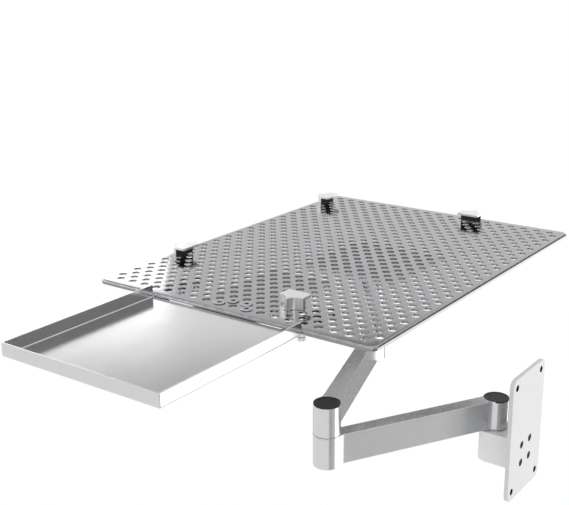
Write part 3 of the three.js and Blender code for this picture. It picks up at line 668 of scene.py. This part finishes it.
post_bottom = ROOM_DEEP + SEAT - HUB_TALL
post_top = TILT_RISE - LUG_BELOW
collar_top = STACK + COLLAR_TALL
form = turned([(0, post_bottom), (PIN_R, post_bottom), (PIN_R, STACK), (COLLAR_R, STACK),
               (COLLAR_R, collar_top), (POST_R, collar_top), (POST_R, post_top), (0, post_top)],
              EDGE, 3, POST_STEPS)
start = len(form.points)
eye = arc(0, TILT_RISE, LUG_R, 0, math.pi, LUG_STEPS)
eye += [(-LUG_R, post_top - OVERLAP), (LUG_R, post_top - OVERLAP)]
eye_hole = circle(TILT_HOLE_R, EYE_STEPS, 0, TILT_RISE, True)
form.slab([eye, eye_hole], -LUG_THICK / 2, LUG_THICK / 2, EDGE, HOLE_EDGE)
form.moved(Y_Z_PLANE, start)
piece("fine_head_post", form, AT_HEAD, "head", SATIN, "head_post")

head_face = ROOM_DEEP - SEAT - HUB_TALL - RETAINER_HEAD_TALL
form = turned(socket_screw(head_face, RETAINER_SOCKET_R, RETAINER_SOCKET_DEEP, RETAINER_HEAD_R,
                           RETAINER_HEAD_TALL, RETAINER_R, post_bottom + RETAINER_REACH), RETAINER_EDGE)
piece("fine_retaining_screw", form, AT_HEAD, "head", BLACK_STEEL, "head_retaining_screw")

ear_inner = LUG_THICK / 2 + SEAT + DISC_THICK + SEAT
ear_outer = ear_inner + YOKE_EAR
screws = [(sx * MOUNT_X, sy * MOUNT_Y) for sx in (-1, 1) for sy in (-1, 1)]
screw_holes = [circle(SCREW_R + FIT, SCREW_HOLE_STEPS, x, y, True) for x, y in screws]
base = rounded_rectangle(YOKE_W, YOKE_D, YOKE_CORNER)
form = Form()
form.slab([base] + screw_holes, YOKE_RISE, YOKE_RISE + YOKE_BASE, SHEET_EDGE, SHEET_HOLE_EDGE)
ear = [(EAR_R, YOKE_RISE + EAR_SUNK), (-EAR_R, YOKE_RISE + EAR_SUNK)]
ear += arc(0, 0, EAR_R, math.pi, FULL, EAR_STEPS)
ear_hole = circle(TILT_HOLE_R, EYE_STEPS, hole=True)
for low in (ear_inner, -ear_outer):
    start = len(form.points)
    form.slab([ear, ear_hole], low, low + YOKE_EAR, SHEET_EDGE, SHEET_HOLE_EDGE)
    form.moved(Y_Z_PLANE, start)
piece("fine_tilt_yoke", form, AT_TILT, "laptop_tray", PAINT, "tilt_yoke")

plate_low = YOKE_RISE + YOKE_BASE + SEAT
mount = rounded_rectangle(MOUNT_W, MOUNT_W, MOUNT_CORNER)
form = Form()
form.slab([mount] + screw_holes, plate_low, plate_low + MOUNT_THICK, SHEET_EDGE, SHEET_HOLE_EDGE)
piece("fine_mount_plate", form, AT_TILT, "laptop_tray", PAINT, "tray_mount_plate")


def hexagon(flats):
    radius = flats / math.sqrt(3)
    return [(radius * math.cos(i * math.pi / 3), radius * math.sin(i * math.pi / 3)) for i in range(6)]


face = ear_outer + SEAT
end = face + TILT_NUT_TALL + TILT_TIP
form = Form()
form.slab([hexagon(TILT_FLATS)], face, face + TILT_HEAD_TALL, EDGE, steps=3)
shank = [(0, -end), (TILT_BOLT_R, -end), (TILT_BOLT_R, face + OVERLAP), (0, face + OVERLAP)]
form.lathe(soften(shank, SHANK_EDGE), SHANK_STEPS)
form.moved(ALONG_X)
piece("fine_tilt_bolt", form, AT_TILT, "laptop_tray", BLACK_STEEL, "tilt_bolt")
form = Form()
form.slab([hexagon(TILT_FLATS), ear_hole], 0, TILT_NUT_TALL, EDGE, HOLE_EDGE, 3)
form.moved(shifted(-face - TILT_NUT_TALL, 0, 0) @ ALONG_X)
piece("fine_tilt_nut", form, AT_TILT, "laptop_tray", BRIGHT, "tilt_nut")
for side, tag in ((1, "right"), (-1, "left")):
    middle = side * (LUG_THICK / 2 + SEAT + DISC_THICK / 2)
    form = turned([(TILT_HOLE_R, -DISC_THICK / 2), (EAR_R, -DISC_THICK / 2), (EAR_R, DISC_THICK / 2),
                   (TILT_HOLE_R, DISC_THICK / 2)], SMALL_EDGE)
    form.moved(shifted(middle, 0, 0) @ ALONG_X)
    owner = frame["nodes"][f"tilt_friction_disc_{tag}"]["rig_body"]
    piece(f"fine_friction_disc_{tag}", form, AT_TILT, owner, PLASTIC,
          f"tilt_friction_disc_{tag}")
for index, (x, y) in enumerate(screws):
    profile = socket_screw(YOKE_RISE - SEAT - SCREW_HEAD_TALL, SCREW_SOCKET_R, SCREW_SOCKET_DEEP,
                           SCREW_HEAD_R, SCREW_HEAD_TALL, SCREW_R, DECK_UNDER - SEAT)
    form = turned(profile, SMALL_EDGE, 2, SCREW_STEPS)
    piece(f"fine_mount_screw_{index + 1}", form, AT_TILT @ shifted(x, y, 0), "laptop_tray",
          BLACK_STEEL, f"mount_screw_{index + 1}")


# Laptop deck

BEND, BEND_STEPS, BEND_WEAR = 2.3, 6, 0.5
RIM_EDGE, INNER_BEND, INNER_RUN = 0.4, 0.5, 0.9 * BEND
DECK_HOLE_EDGE, DECK_HOLE_STEPS = 0.25, 20
NOTCH_STEP, NOTCH_FROM = 0.15, 0.3


def hole_at(row, across):
    return ((ROWS - 1) / 2 - row) * ROW_PITCH, across * HOLE_PITCH


def holes_of_row(row):
    end = OUTERMOST if row % 2 else OUTERMOST - 0.5
    return [end - i for i in range(round(2 * end) + 1)]


def rim_profile():
    """The rim from the underside's border, down inside, under its edge, up outside and over the bend."""
    low = DECK_SHEET - RIM_TALL
    inside = [(RIM_WALL + INNER_RUN, 0, 0)]
    inside += [(d, z, 0) for d, z, _ in bevel(RIM_WALL, 0, -INNER_BEND)]
    edge = bevel(0, low, RIM_EDGE)
    edge_inside = [(RIM_WALL - d, z, worn) for d, z, worn in edge[::-1]]
    profile = inside + edge_inside + edge
    for s in range(BEND_STEPS + 1):
        a = s / BEND_STEPS * QUARTER
        worn = BEND_WEAR if 0 < s < BEND_STEPS else 0
        profile.append((BEND * (1 - math.cos(a)), DECK_SHEET - BEND + BEND * math.sin(a), worn))
    return profile


def deck_form():
    form = Form()
    outline = rounded_rectangle(DECK_W, DECK_D, DECK_CORNER, FINE_CORNER_STEPS)
    edge_x, half_notch = DECK_W / 2, NOTCH / 2
    # Two close points at each end of the notch let the rim stop there
    at = next(i for i, (x, y) in enumerate(outline) if x > edge_x - TINY and y > 0)
    extra = [(edge_x, -half_notch), (edge_x, -half_notch + NOTCH_STEP), (edge_x, half_notch - NOTCH_STEP),
             (edge_x, half_notch)]
    outline = outline[:at] + extra + outline[at:]
    open_rim = [x > edge_x - TINY and abs(y) < half_notch - NOTCH_STEP / 2 for x, y in outline]
    rings = []
    for distance, z, worn in rim_profile():
        lifted = NOTCH_FROM + (z - NOTCH_FROM) * NOTCH_LIP if z < NOTCH_FROM else z
        row = [(x, y, lifted if gap else z) for (x, y), gap in zip(inset(outline, distance), open_rim)]
        rings.append(form.ring(row, worn))
    # The first ring is the underside's border, level with the sheet
    for k in rings[0]:
        x, y, _ = form.points[k]
        form.points[k] = (x, y, 0.0)
    form.join(rings)
    tops, bottoms = [rings[-1]], [rings[0]]
    rows = [(HOLE_R + DECK_HOLE_EDGE, 0, 0), (HOLE_R, DECK_HOLE_EDGE, 0)]
    rows += bevel(HOLE_R, DECK_SHEET, -DECK_HOLE_EDGE)[::-1]
    for row in range(ROWS):
        for across in holes_of_row(row):
            hole = form.bore(rows, DECK_HOLE_STEPS, *hole_at(row, across))
            bottoms.append(hole[0])
            tops.append(hole[-1])
    form.fill(tops, True)
    form.fill(bottoms, False)
    return form


piece("fine_laptop_deck", deck_form(), AT_TRAY, "laptop_tray", DECK, "laptop_deck")

TRAY_SHEET, TRAY_TALL, TRAY_GAP, TRAY_LONG, TRAY_HALF, TRAY_CORNER = 1.5, 12.8, 0.5, 177.6, 87.0, 1.2
TAB_INNER, TAB_OUTER, TAB_LONG = 66.0, 86.0, 60.0
TONGUE_HALF, TONGUE_LONG, SLIDE_TRAVEL = 35.8, 120.0, 38.0
CHANNEL_SHEET, CHANNEL_LIP, CHANNEL_LONG, CHANNEL_INSET = 1.2, 6.0, 125.0, 3.0
CLIP_LONG, CLIP_INSET, CLIP_FLANGE, CLIP_LIP = 30.0, 4.0, 9.4, 12.9
RIVET_BORE, RIVET_R, RIVET_TAIL_R, RIVET_TAIL_TALL = 2.2, 3.4, 4.6, 0.7
RIVET_HEAD_R, RIVET_FACE_R, RIVET_HEAD_TALL = 5.75, 5.4, 0.9
BOSS_BORE, BOSS_R, BOSS_TALL, BOSS_SUNK = 2.3, 4.0, 3.4, 0.3
LOCK_R, LOCK_HEAD_R, LOCK_HEAD_TALL, LOCK_HEAD_TOP, LOCK_RIDGES, LOCK_GROOVE = 2.0, 3.8, 3.4, -8.7, 20, 0.3
LOCK_INSET, LOCK_Y = 10.0, 79.5
BOSS_EDGE, BAR_END_EDGE = 0.4, 0.2
RIVET_STEPS, BOSS_STEPS, RIDGE_STEPS = 36, 40, 6
PLAY = 0.25
deck_edge = DECK_W / 2
channel_bottom = -SEAT - CHANNEL_SHEET
slide_top = channel_bottom - PLAY
slide_bottom = slide_top - TRAY_SHEET
lip_top = slide_bottom - PLAY
lip_bottom = lip_top - CHANNEL_SHEET


def bar_along_x(form, section, x0, x1):
    """A straight bar of a section given in Y and Z."""
    soft = [(y, z) for y, z, _ in soften(section, SMALL_EDGE, closed=True)]
    start = len(form.points)
    form.slab([soft], x0, x1, BAR_END_EDGE)
    form.moved(Y_Z_PLANE, start)


inner = TONGUE_HALF + FIT
outer = inner + CHANNEL_SHEET
inner_lip = inner - CHANNEL_LIP
section = [(-outer, -SEAT), (-outer, lip_bottom), (-inner_lip, lip_bottom), (-inner_lip, lip_top),
           (-inner, lip_top), (-inner, channel_bottom), (inner, channel_bottom), (inner, lip_top),
           (inner_lip, lip_top), (inner_lip, lip_bottom), (outer, lip_bottom), (outer, -SEAT)]
form = Form()
channel_end = deck_edge - CHANNEL_INSET
bar_along_x(form, section, channel_end - CHANNEL_LONG, channel_end)
piece("fine_slide_channel", form, AT_TRAY, "laptop_tray", PAINT, "slide_channel")

tail_bottom = channel_bottom - SEAT - RIVET_TAIL_TALL
tail_top = tail_bottom + RIVET_TAIL_TALL
head_bottom = DECK_SHEET + SEAT
head_top = head_bottom + RIVET_HEAD_TALL
for number, spot in enumerate(RIVETS):
    form = turned([(RIVET_BORE, tail_bottom), (RIVET_TAIL_R, tail_bottom), (RIVET_TAIL_R, tail_top),
                   (RIVET_R, tail_top), (RIVET_R, head_bottom), (RIVET_HEAD_R, head_bottom),
                   (RIVET_FACE_R, head_top), (RIVET_BORE, head_top)], SMALL_EDGE, 3, RIVET_STEPS)
    piece(f"fine_tray_rivet_{number + 1}", form, AT_TRAY @ shifted(*hole_at(*spot), 0), "laptop_tray",
          RIVET, f"tray_rivet_{number + 1}")

clip_end = deck_edge - CLIP_INSET
clip_wall = TAB_OUTER + FIT
clip_outer = clip_wall + CHANNEL_SHEET
clip_lip = clip_outer - CLIP_LIP - CHANNEL_SHEET
clip_flange = clip_outer + CLIP_FLANGE
lock_x = deck_edge - LOCK_INSET
for side, tag in ((1, "back"), (-1, "front")):
    section = [(clip_lip, lip_bottom), (clip_outer, lip_bottom), (clip_outer, channel_bottom),
               (clip_flange, channel_bottom), (clip_flange, -SEAT), (clip_wall, -SEAT),
               (clip_wall, lip_top), (clip_lip, lip_top)]
    if side < 0:
        section = [(-y, z) for y, z in section][::-1]
    form = Form()
    bar_along_x(form, section, clip_end - CLIP_LONG, clip_end)
    if side > 0:
        low, high = lip_bottom - BOSS_TALL, lip_bottom + BOSS_SUNK
        boss = [(BOSS_BORE, low), (BOSS_R, low), (BOSS_R, high), (BOSS_BORE, high)]
        form.lathe(soften(boss, BOSS_EDGE, closed=True), BOSS_STEPS, lock_x, LOCK_Y)
    piece(f"fine_guide_clip_{tag}", form, AT_TRAY, "laptop_tray", PAINT,
          f"guide_clip_{tag}")


def knurled(radius, lobes, groove, steps):
    """A round outline with scalloped grooves."""
    points = []
    for i in range(lobes * steps):
        angle = i * FULL / (lobes * steps)
        wave = 0.5 - 0.5 * math.cos(lobes * angle)
        reach = radius - groove * wave ** 2
        points.append((reach * math.cos(angle), reach * math.sin(angle)))
    return points


form = Form()
head = knurled(LOCK_HEAD_R, LOCK_RIDGES, LOCK_GROOVE, RIDGE_STEPS)
form.slab([head], LOCK_HEAD_TOP - LOCK_HEAD_TALL, LOCK_HEAD_TOP, SHEET_EDGE, steps=3)
low, high = LOCK_HEAD_TOP - OVERLAP, slide_bottom - SEAT
form.lathe(soften([(0, low), (LOCK_R, low), (LOCK_R, high), (0, high)], SMALL_EDGE), SHANK_STEPS)
piece("fine_lock_screw", form, AT_TRAY @ shifted(lock_x, LOCK_Y, 0), "lock_screw", BRIGHT,
      "lock_screw")


# Mouse tray

TIGHTEST = 0.03
WALL_EDGE, WALL_MID = 0.45, 0.13
RELIEF, ROUNDING, NOSE = 2.0, 2.0, 3.0
ROUND_STEPS, NOSE_STEPS = 5, 6


def tray_wall_profile(low, top):
    """(inset, height, worn) from the floor's underside, over the walls' top edge, down to the floor."""
    turns = [s / BEND_STEPS * QUARTER for s in range(BEND_STEPS + 1)]
    inner_bend = BEND - TRAY_SHEET
    profile = [(BEND * (1 - math.sin(a)), low + BEND * (1 - math.cos(a)), 0) for a in turns]
    profile += [(0, top - WALL_EDGE, 0), (WALL_MID, top - WALL_MID, 1), (WALL_EDGE, top, 0)]
    profile += [(TRAY_SHEET - WALL_EDGE, top, 0), (TRAY_SHEET - WALL_MID, top - WALL_MID, 1),
                (TRAY_SHEET, top - WALL_EDGE, 0)]
    profile += [(TRAY_SHEET + inner_bend * (1 - math.cos(a)), low + BEND - inner_bend * math.sin(a), 0)
                for a in turns]
    return profile


def floor_border(near):
    """The floor's line with its two tabs and its tongue, from the +Y wall to the -Y wall."""
    tongue_end = near - TONGUE_LONG
    border = [(near - RELIEF, TRAY_HALF - BEND), (near - RELIEF, TAB_OUTER)]
    r, steps, tab_end = ROUNDING, ROUND_STEPS, near - TAB_LONG
    border += arc(tab_end + r, TAB_OUTER - r, r, QUARTER, math.pi, steps)
    border += arc(tab_end + r, TAB_INNER + r, r, math.pi, 3 * QUARTER, steps)
    border += arc(near - r, TAB_INNER - r, r, QUARTER, 0, steps)
    border += arc(near - r, TONGUE_HALF + r, r, 0, -QUARTER, steps)
    border += arc(tongue_end + NOSE, TONGUE_HALF - NOSE, NOSE, QUARTER, math.pi, NOSE_STEPS)
    return border + [(x, -y) for x, y in border[::-1]]


def mouse_tray_form():
    form = Form()
    near = deck_edge + TRAY_GAP
    far = near + TRAY_LONG
    low, high = slide_bottom, slide_bottom + TRAY_SHEET

    def around(d):
        """The three walls' line in plan, a distance inside their outer faces."""
        r = max(TRAY_CORNER - d, TIGHTEST)
        x, y = far - d - r, TRAY_HALF - d - r
        line = [(near, d - TRAY_HALF)] + arc(x, -y, r, -QUARTER, 0, ROUND_STEPS)
        return line + arc(x, y, r, 0, QUARTER, ROUND_STEPS) + [(near, TRAY_HALF - d)]

    rings = form.join([form.ring([(x, y, z) for x, y in around(d)], worn)
                       for d, z, worn in tray_wall_profile(low, low + TRAY_TALL)], False)
    # Ends of the folded walls
    form.faces.append(tuple(ring[0] for ring in rings)[::-1])
    form.faces.append(tuple(ring[-1] for ring in rings))
    border = floor_border(near)
    low_border = form.ring([(x, y, low) for x, y in border])
    high_border = form.ring([(x, y, high) for x, y in border])
    form.bridge([rings[0][-1]] + low_border + [rings[0][0]],
                [rings[-1][-1]] + high_border + [rings[-1][0]], False)
    # A window in the tongue clears the rivets' tails over the whole travel
    reach = RIVET_TAIL_R + FIT
    xs, ys = zip(*(hole_at(*spot) for spot in RIVETS))
    x0, x1, y1 = min(xs) - reach - SLIDE_TRAVEL, max(xs) + reach, max(ys) + reach
    window = [(x0, -y1), (x0, y1), (x1, y1), (x1, -y1)]
    low_window = form.ring([(x, y, low) for x, y in window])
    high_window = form.ring([(x, y, high) for x, y in window])
    form.bridge(low_window, high_window)
    form.fill([rings[0] + low_border, low_window], False)
    form.fill([rings[-1] + high_border, high_window], True)
    return form


piece("fine_mouse_tray", mouse_tray_form(), AT_TRAY, "mouse_tray", TRAY, "mouse_tray")


# Laptop clamps

HOOK_W, HOOK_NOSE, SHOULDER, HOOK_FACE, HOOK_TALL = 25.8, 4.0, 4.9, 8.0, 11.8
HOOK_LIP, LIP_THICK, LIP_CORNER, BLUNT = 11.3, 2.4, 2.0, 1.2
FLUTE = 4.2  # deeper than the CAD part's
HOOK_ROUND, HOOK_EDGE = 0.6, 0.25
FLUTE_STEPS, LIP_STEPS, PAD_STEPS, LOBE_STEPS = 14, 6, 4, 8
PAD_THICK, PAD_INSET, PAD_CORNER = 1.5, 0.8, 1.0
STUD_R, STUD_TIP, STUD_SUNK = 2.5, 2.0, 0.05
NUT_R, NUT_TALL, NUT_LOBES, NUT_GROOVE = 7.5, 6.0, 10, 0.6
hook_bottom = DECK_SHEET + SEAT
hook_top = hook_bottom + HOOK_TALL
lip_under = hook_top - LIP_THICK
nut_bottom = -SEAT - NUT_TALL


def curve(a, b, c, steps):
    points = []
    for s in range(steps + 1):
        t = s / steps
        k = 1 - t
        points.append((k * k * a[0] + 2 * k * t * b[0] + t * t * c[0],
                       k * k * a[1] + 2 * k * t * b[1] + t * t * c[1]))
    return points


def hook_form():
    form = Form()
    half = HOOK_W / 2
    control = ((SHOULDER - HOOK_NOSE) / 2 + FLUTE, half / 2 - FLUTE)
    upper = [(HOOK_FACE, half)] + curve((SHOULDER, half), control, (-HOOK_NOSE, BLUNT), FLUTE_STEPS)
    back = [(x, y) for x, y, _ in soften(upper + [(x, -y) for x, y in upper[::-1]], HOOK_ROUND, 3)]
    # The body stands under the lip plate, and both share the fluted back
    profile = soften([(RUN, hook_bottom), (0, hook_bottom), (0, lip_under)], HOOK_EDGE, 3)
    body = form.wall(back, profile[1:-1])
    form.fill([body[0]], False)
    reach = HOOK_FACE + HOOK_LIP - LIP_CORNER
    lip = back + arc(reach, LIP_CORNER - half, LIP_CORNER, -QUARTER, 0, LIP_STEPS)
    lip += arc(reach, half - LIP_CORNER, LIP_CORNER, 0, QUARTER, LIP_STEPS)
    count = len(back)
    plate = []
    for d, z, worn in plate_edge(lip_under, hook_top, HOOK_EDGE):
        points = inset(lip, d)
        if z < lip_under + HOOK_EDGE and d > 0:
            points[:count] = back
        plate.append(form.ring([(x, y, z) for x, y in points], worn))
    form.join(plate)
    form.fill([plate[-1]], True)
    form.fill([plate[0][count - 1:] + plate[0][:1]], False)
    form.bridge(body[-1], plate[0][:count], False)
    form.faces.append((body[-1][-1], body[-1][0], plate[0][0], plate[0][count - 1]))
    low, high = nut_bottom - STUD_TIP, hook_bottom + STUD_SUNK
    form.lathe(soften([(0, low), (STUD_R, low), (STUD_R, high), (0, high)], SHANK_EDGE), SHANK_STEPS)
    return form


def pad_form():
    low, high = hook_bottom + PAD_INSET, lip_under - SEAT
    form = Form()
    middle = (low + high) / 2
    outline = rounded_rectangle(HOOK_W - 2 * PAD_INSET, high - low, PAD_CORNER, PAD_STEPS)
    outline = [(y, z + middle) for y, z in outline]
    form.slab([outline], HOOK_FACE + SEAT, HOOK_FACE + SEAT + PAD_THICK, SMALL_EDGE)
    return form.moved(Y_Z_PLANE)


for name, row, across, turn in CLAMPS:
    x, y = hole_at(row, across)
    at = AT_TRAY @ shifted(x, y, 0, turn)
    piece(f"fine_{name}_hook", hook_form(), at, name, BRUSHED, f"{name}_hook")
    piece(f"fine_{name}_pad", pad_form(), at, name, RUBBER, f"{name}_pad")
    grip = knurled(NUT_R, NUT_LOBES, NUT_GROOVE, LOBE_STEPS)
    form = Form()
    form.slab([grip, circle(STUD_R + FIT, SHANK_STEPS, hole=True)], nut_bottom, -SEAT, EDGE, HOLE_EDGE, 3)
    piece(f"fine_{name}_nut", form, at, name, PLASTIC, f"{name}_nut")


# Floor, lights and camera

MIDDLE = Vector((0.03, -0.2, 0.05))
VIEW_AZIMUTH = math.radians(35.4)
FLOOR_Z, FLOOR_SIZE, FLOOR_TONE, FLOOR_ROUGHNESS = -1.6, 200, 0.9, 0.9
SURROUND = 1.12
IMAGE_W, IMAGE_H, SENSOR = 569, 505, 36
FOCAL, CENTRE_X, CENTRE_Y = 1034.0, 298.4, 246.8
FARTHEST = 400

# Each has its angle, distance, width, lowest and highest point, and its radiance or tone
SOFTBOXES = {
    "right_box": (98, 2.3, 2.6, -1.5, -0.05, 1.6),
    "left_box": (-155, 3.0, 1.5, 0.6, 1.21, 2.8),
    "side_box": (-106, 2.5, 3.0, 0.7, 1.5, 1.7),
    "streak_box": (5, 2.5, 0.45, 0.6, 1.5, 3.0),
}
GREY_CARDS = {
    "right_card": (53, 2.2, 1.1, -1.55, 0.6, 0.62),
    "hub_card": (29, 2.3, 1.1, -1.55, 0.4, 0.45),
    "back_card": (173, 2.5, 3.9, -1.55, 0.0, 0.33),
    "high_card": (105, 2.3, 2.6, 0.05, 1.7, 0.3),
    "far_card": (-172, 3.0, 2.2, 1.45, 2.8, 0.4),
}


def plain(name, tone):
    material = bpy.data.materials.new(name)
    material.use_nodes = True
    shader = material.node_tree.nodes["Principled BSDF"]
    shader.inputs["Base Color"].default_value = (tone, tone, tone, 1)
    shader.inputs["Roughness"].default_value = FLOOR_ROUGHNESS
    shader.inputs["Specular IOR Level"].default_value = 0.0
    return material


def sheet_mesh(name, width, height, tone):
    x, y = width / 2, height / 2
    mesh = bpy.data.meshes.new(name)
    mesh.from_pydata([(-x, -y, 0), (x, -y, 0), (x, y, 0), (-x, y, 0)], [], [(0, 1, 2, 3)])
    mesh.materials.append(plain(name, tone))
    obj = bpy.data.objects.new(name, mesh)
    bpy.context.scene.collection.objects.link(obj)
    return obj


def stood(obj, side, distance, low, high):
    """Stands a thing upright round the object, at an angle to the right of the photograph's viewpoint."""
    turn = VIEW_AZIMUTH + math.radians(side)
    away = Vector((math.cos(turn), math.sin(turn), 0))
    obj.location = (MIDDLE.x + distance * away.x, MIDDLE.y + distance * away.y, (low + high) / 2)
    obj.rotation_euler = away.to_track_quat("Z", "Y").to_euler()
    obj.visible_camera = obj.visible_diffuse = obj.visible_shadow = False
    return obj


def softbox(name, side, distance, width, low, high, radiance):
    light = bpy.data.lights.new(name, "AREA")
    light.shape = "RECTANGLE"
    light.size, light.size_y = width, high - low
    light.energy = radiance * math.pi * width * (high - low)
    obj = bpy.data.objects.new(name, light)
    bpy.context.scene.collection.objects.link(obj)
    return stood(obj, side, distance, low, high)


def grey_card(name, side, distance, width, low, high, tone):
    return stood(sheet_mesh(name, width, high - low, tone), side, distance, low, high)


sheet_mesh("floor", FLOOR_SIZE, FLOOR_SIZE, FLOOR_TONE).location = (0, 0, FLOOR_Z)
for name, values in SOFTBOXES.items():
    softbox(name, *values)
for name, values in GREY_CARDS.items():
    grey_card(name, *values)

world = bpy.data.worlds.new("studio")
bpy.context.scene.world = world
world.use_nodes = True
background = world.node_tree.nodes["Background"]
background.inputs["Color"].default_value = (1, 1, 1, 1)
background.inputs["Strength"].default_value = SURROUND

camera_data = bpy.data.cameras.new("camera")
camera_data.sensor_width = SENSOR
camera_data.lens = FOCAL / IMAGE_W * SENSOR
camera_data.shift_x = (IMAGE_W / 2 - CENTRE_X) / IMAGE_W
camera_data.shift_y = (CENTRE_Y - IMAGE_H / 2) / IMAGE_W
camera_data.clip_end = FARTHEST
camera = bpy.data.objects.new("camera", camera_data)
right = Vector((-0.57861168, 0.81559588, -0.00344663))
up = Vector((-0.23431785, -0.16218244, 0.95853639))
ahead = Vector((-0.78121935, -0.55542796, -0.28494933))
standpoint = (0.874389, 0.349645, 0.459476)
axes = Matrix((right, up, -ahead)).transposed().to_4x4()
camera.matrix_world = Matrix.Translation(standpoint) @ axes
bpy.context.scene.collection.objects.link(camera)
bpy.context.scene.camera = camera
bpy.context.scene.view_settings.view_transform = "Standard"
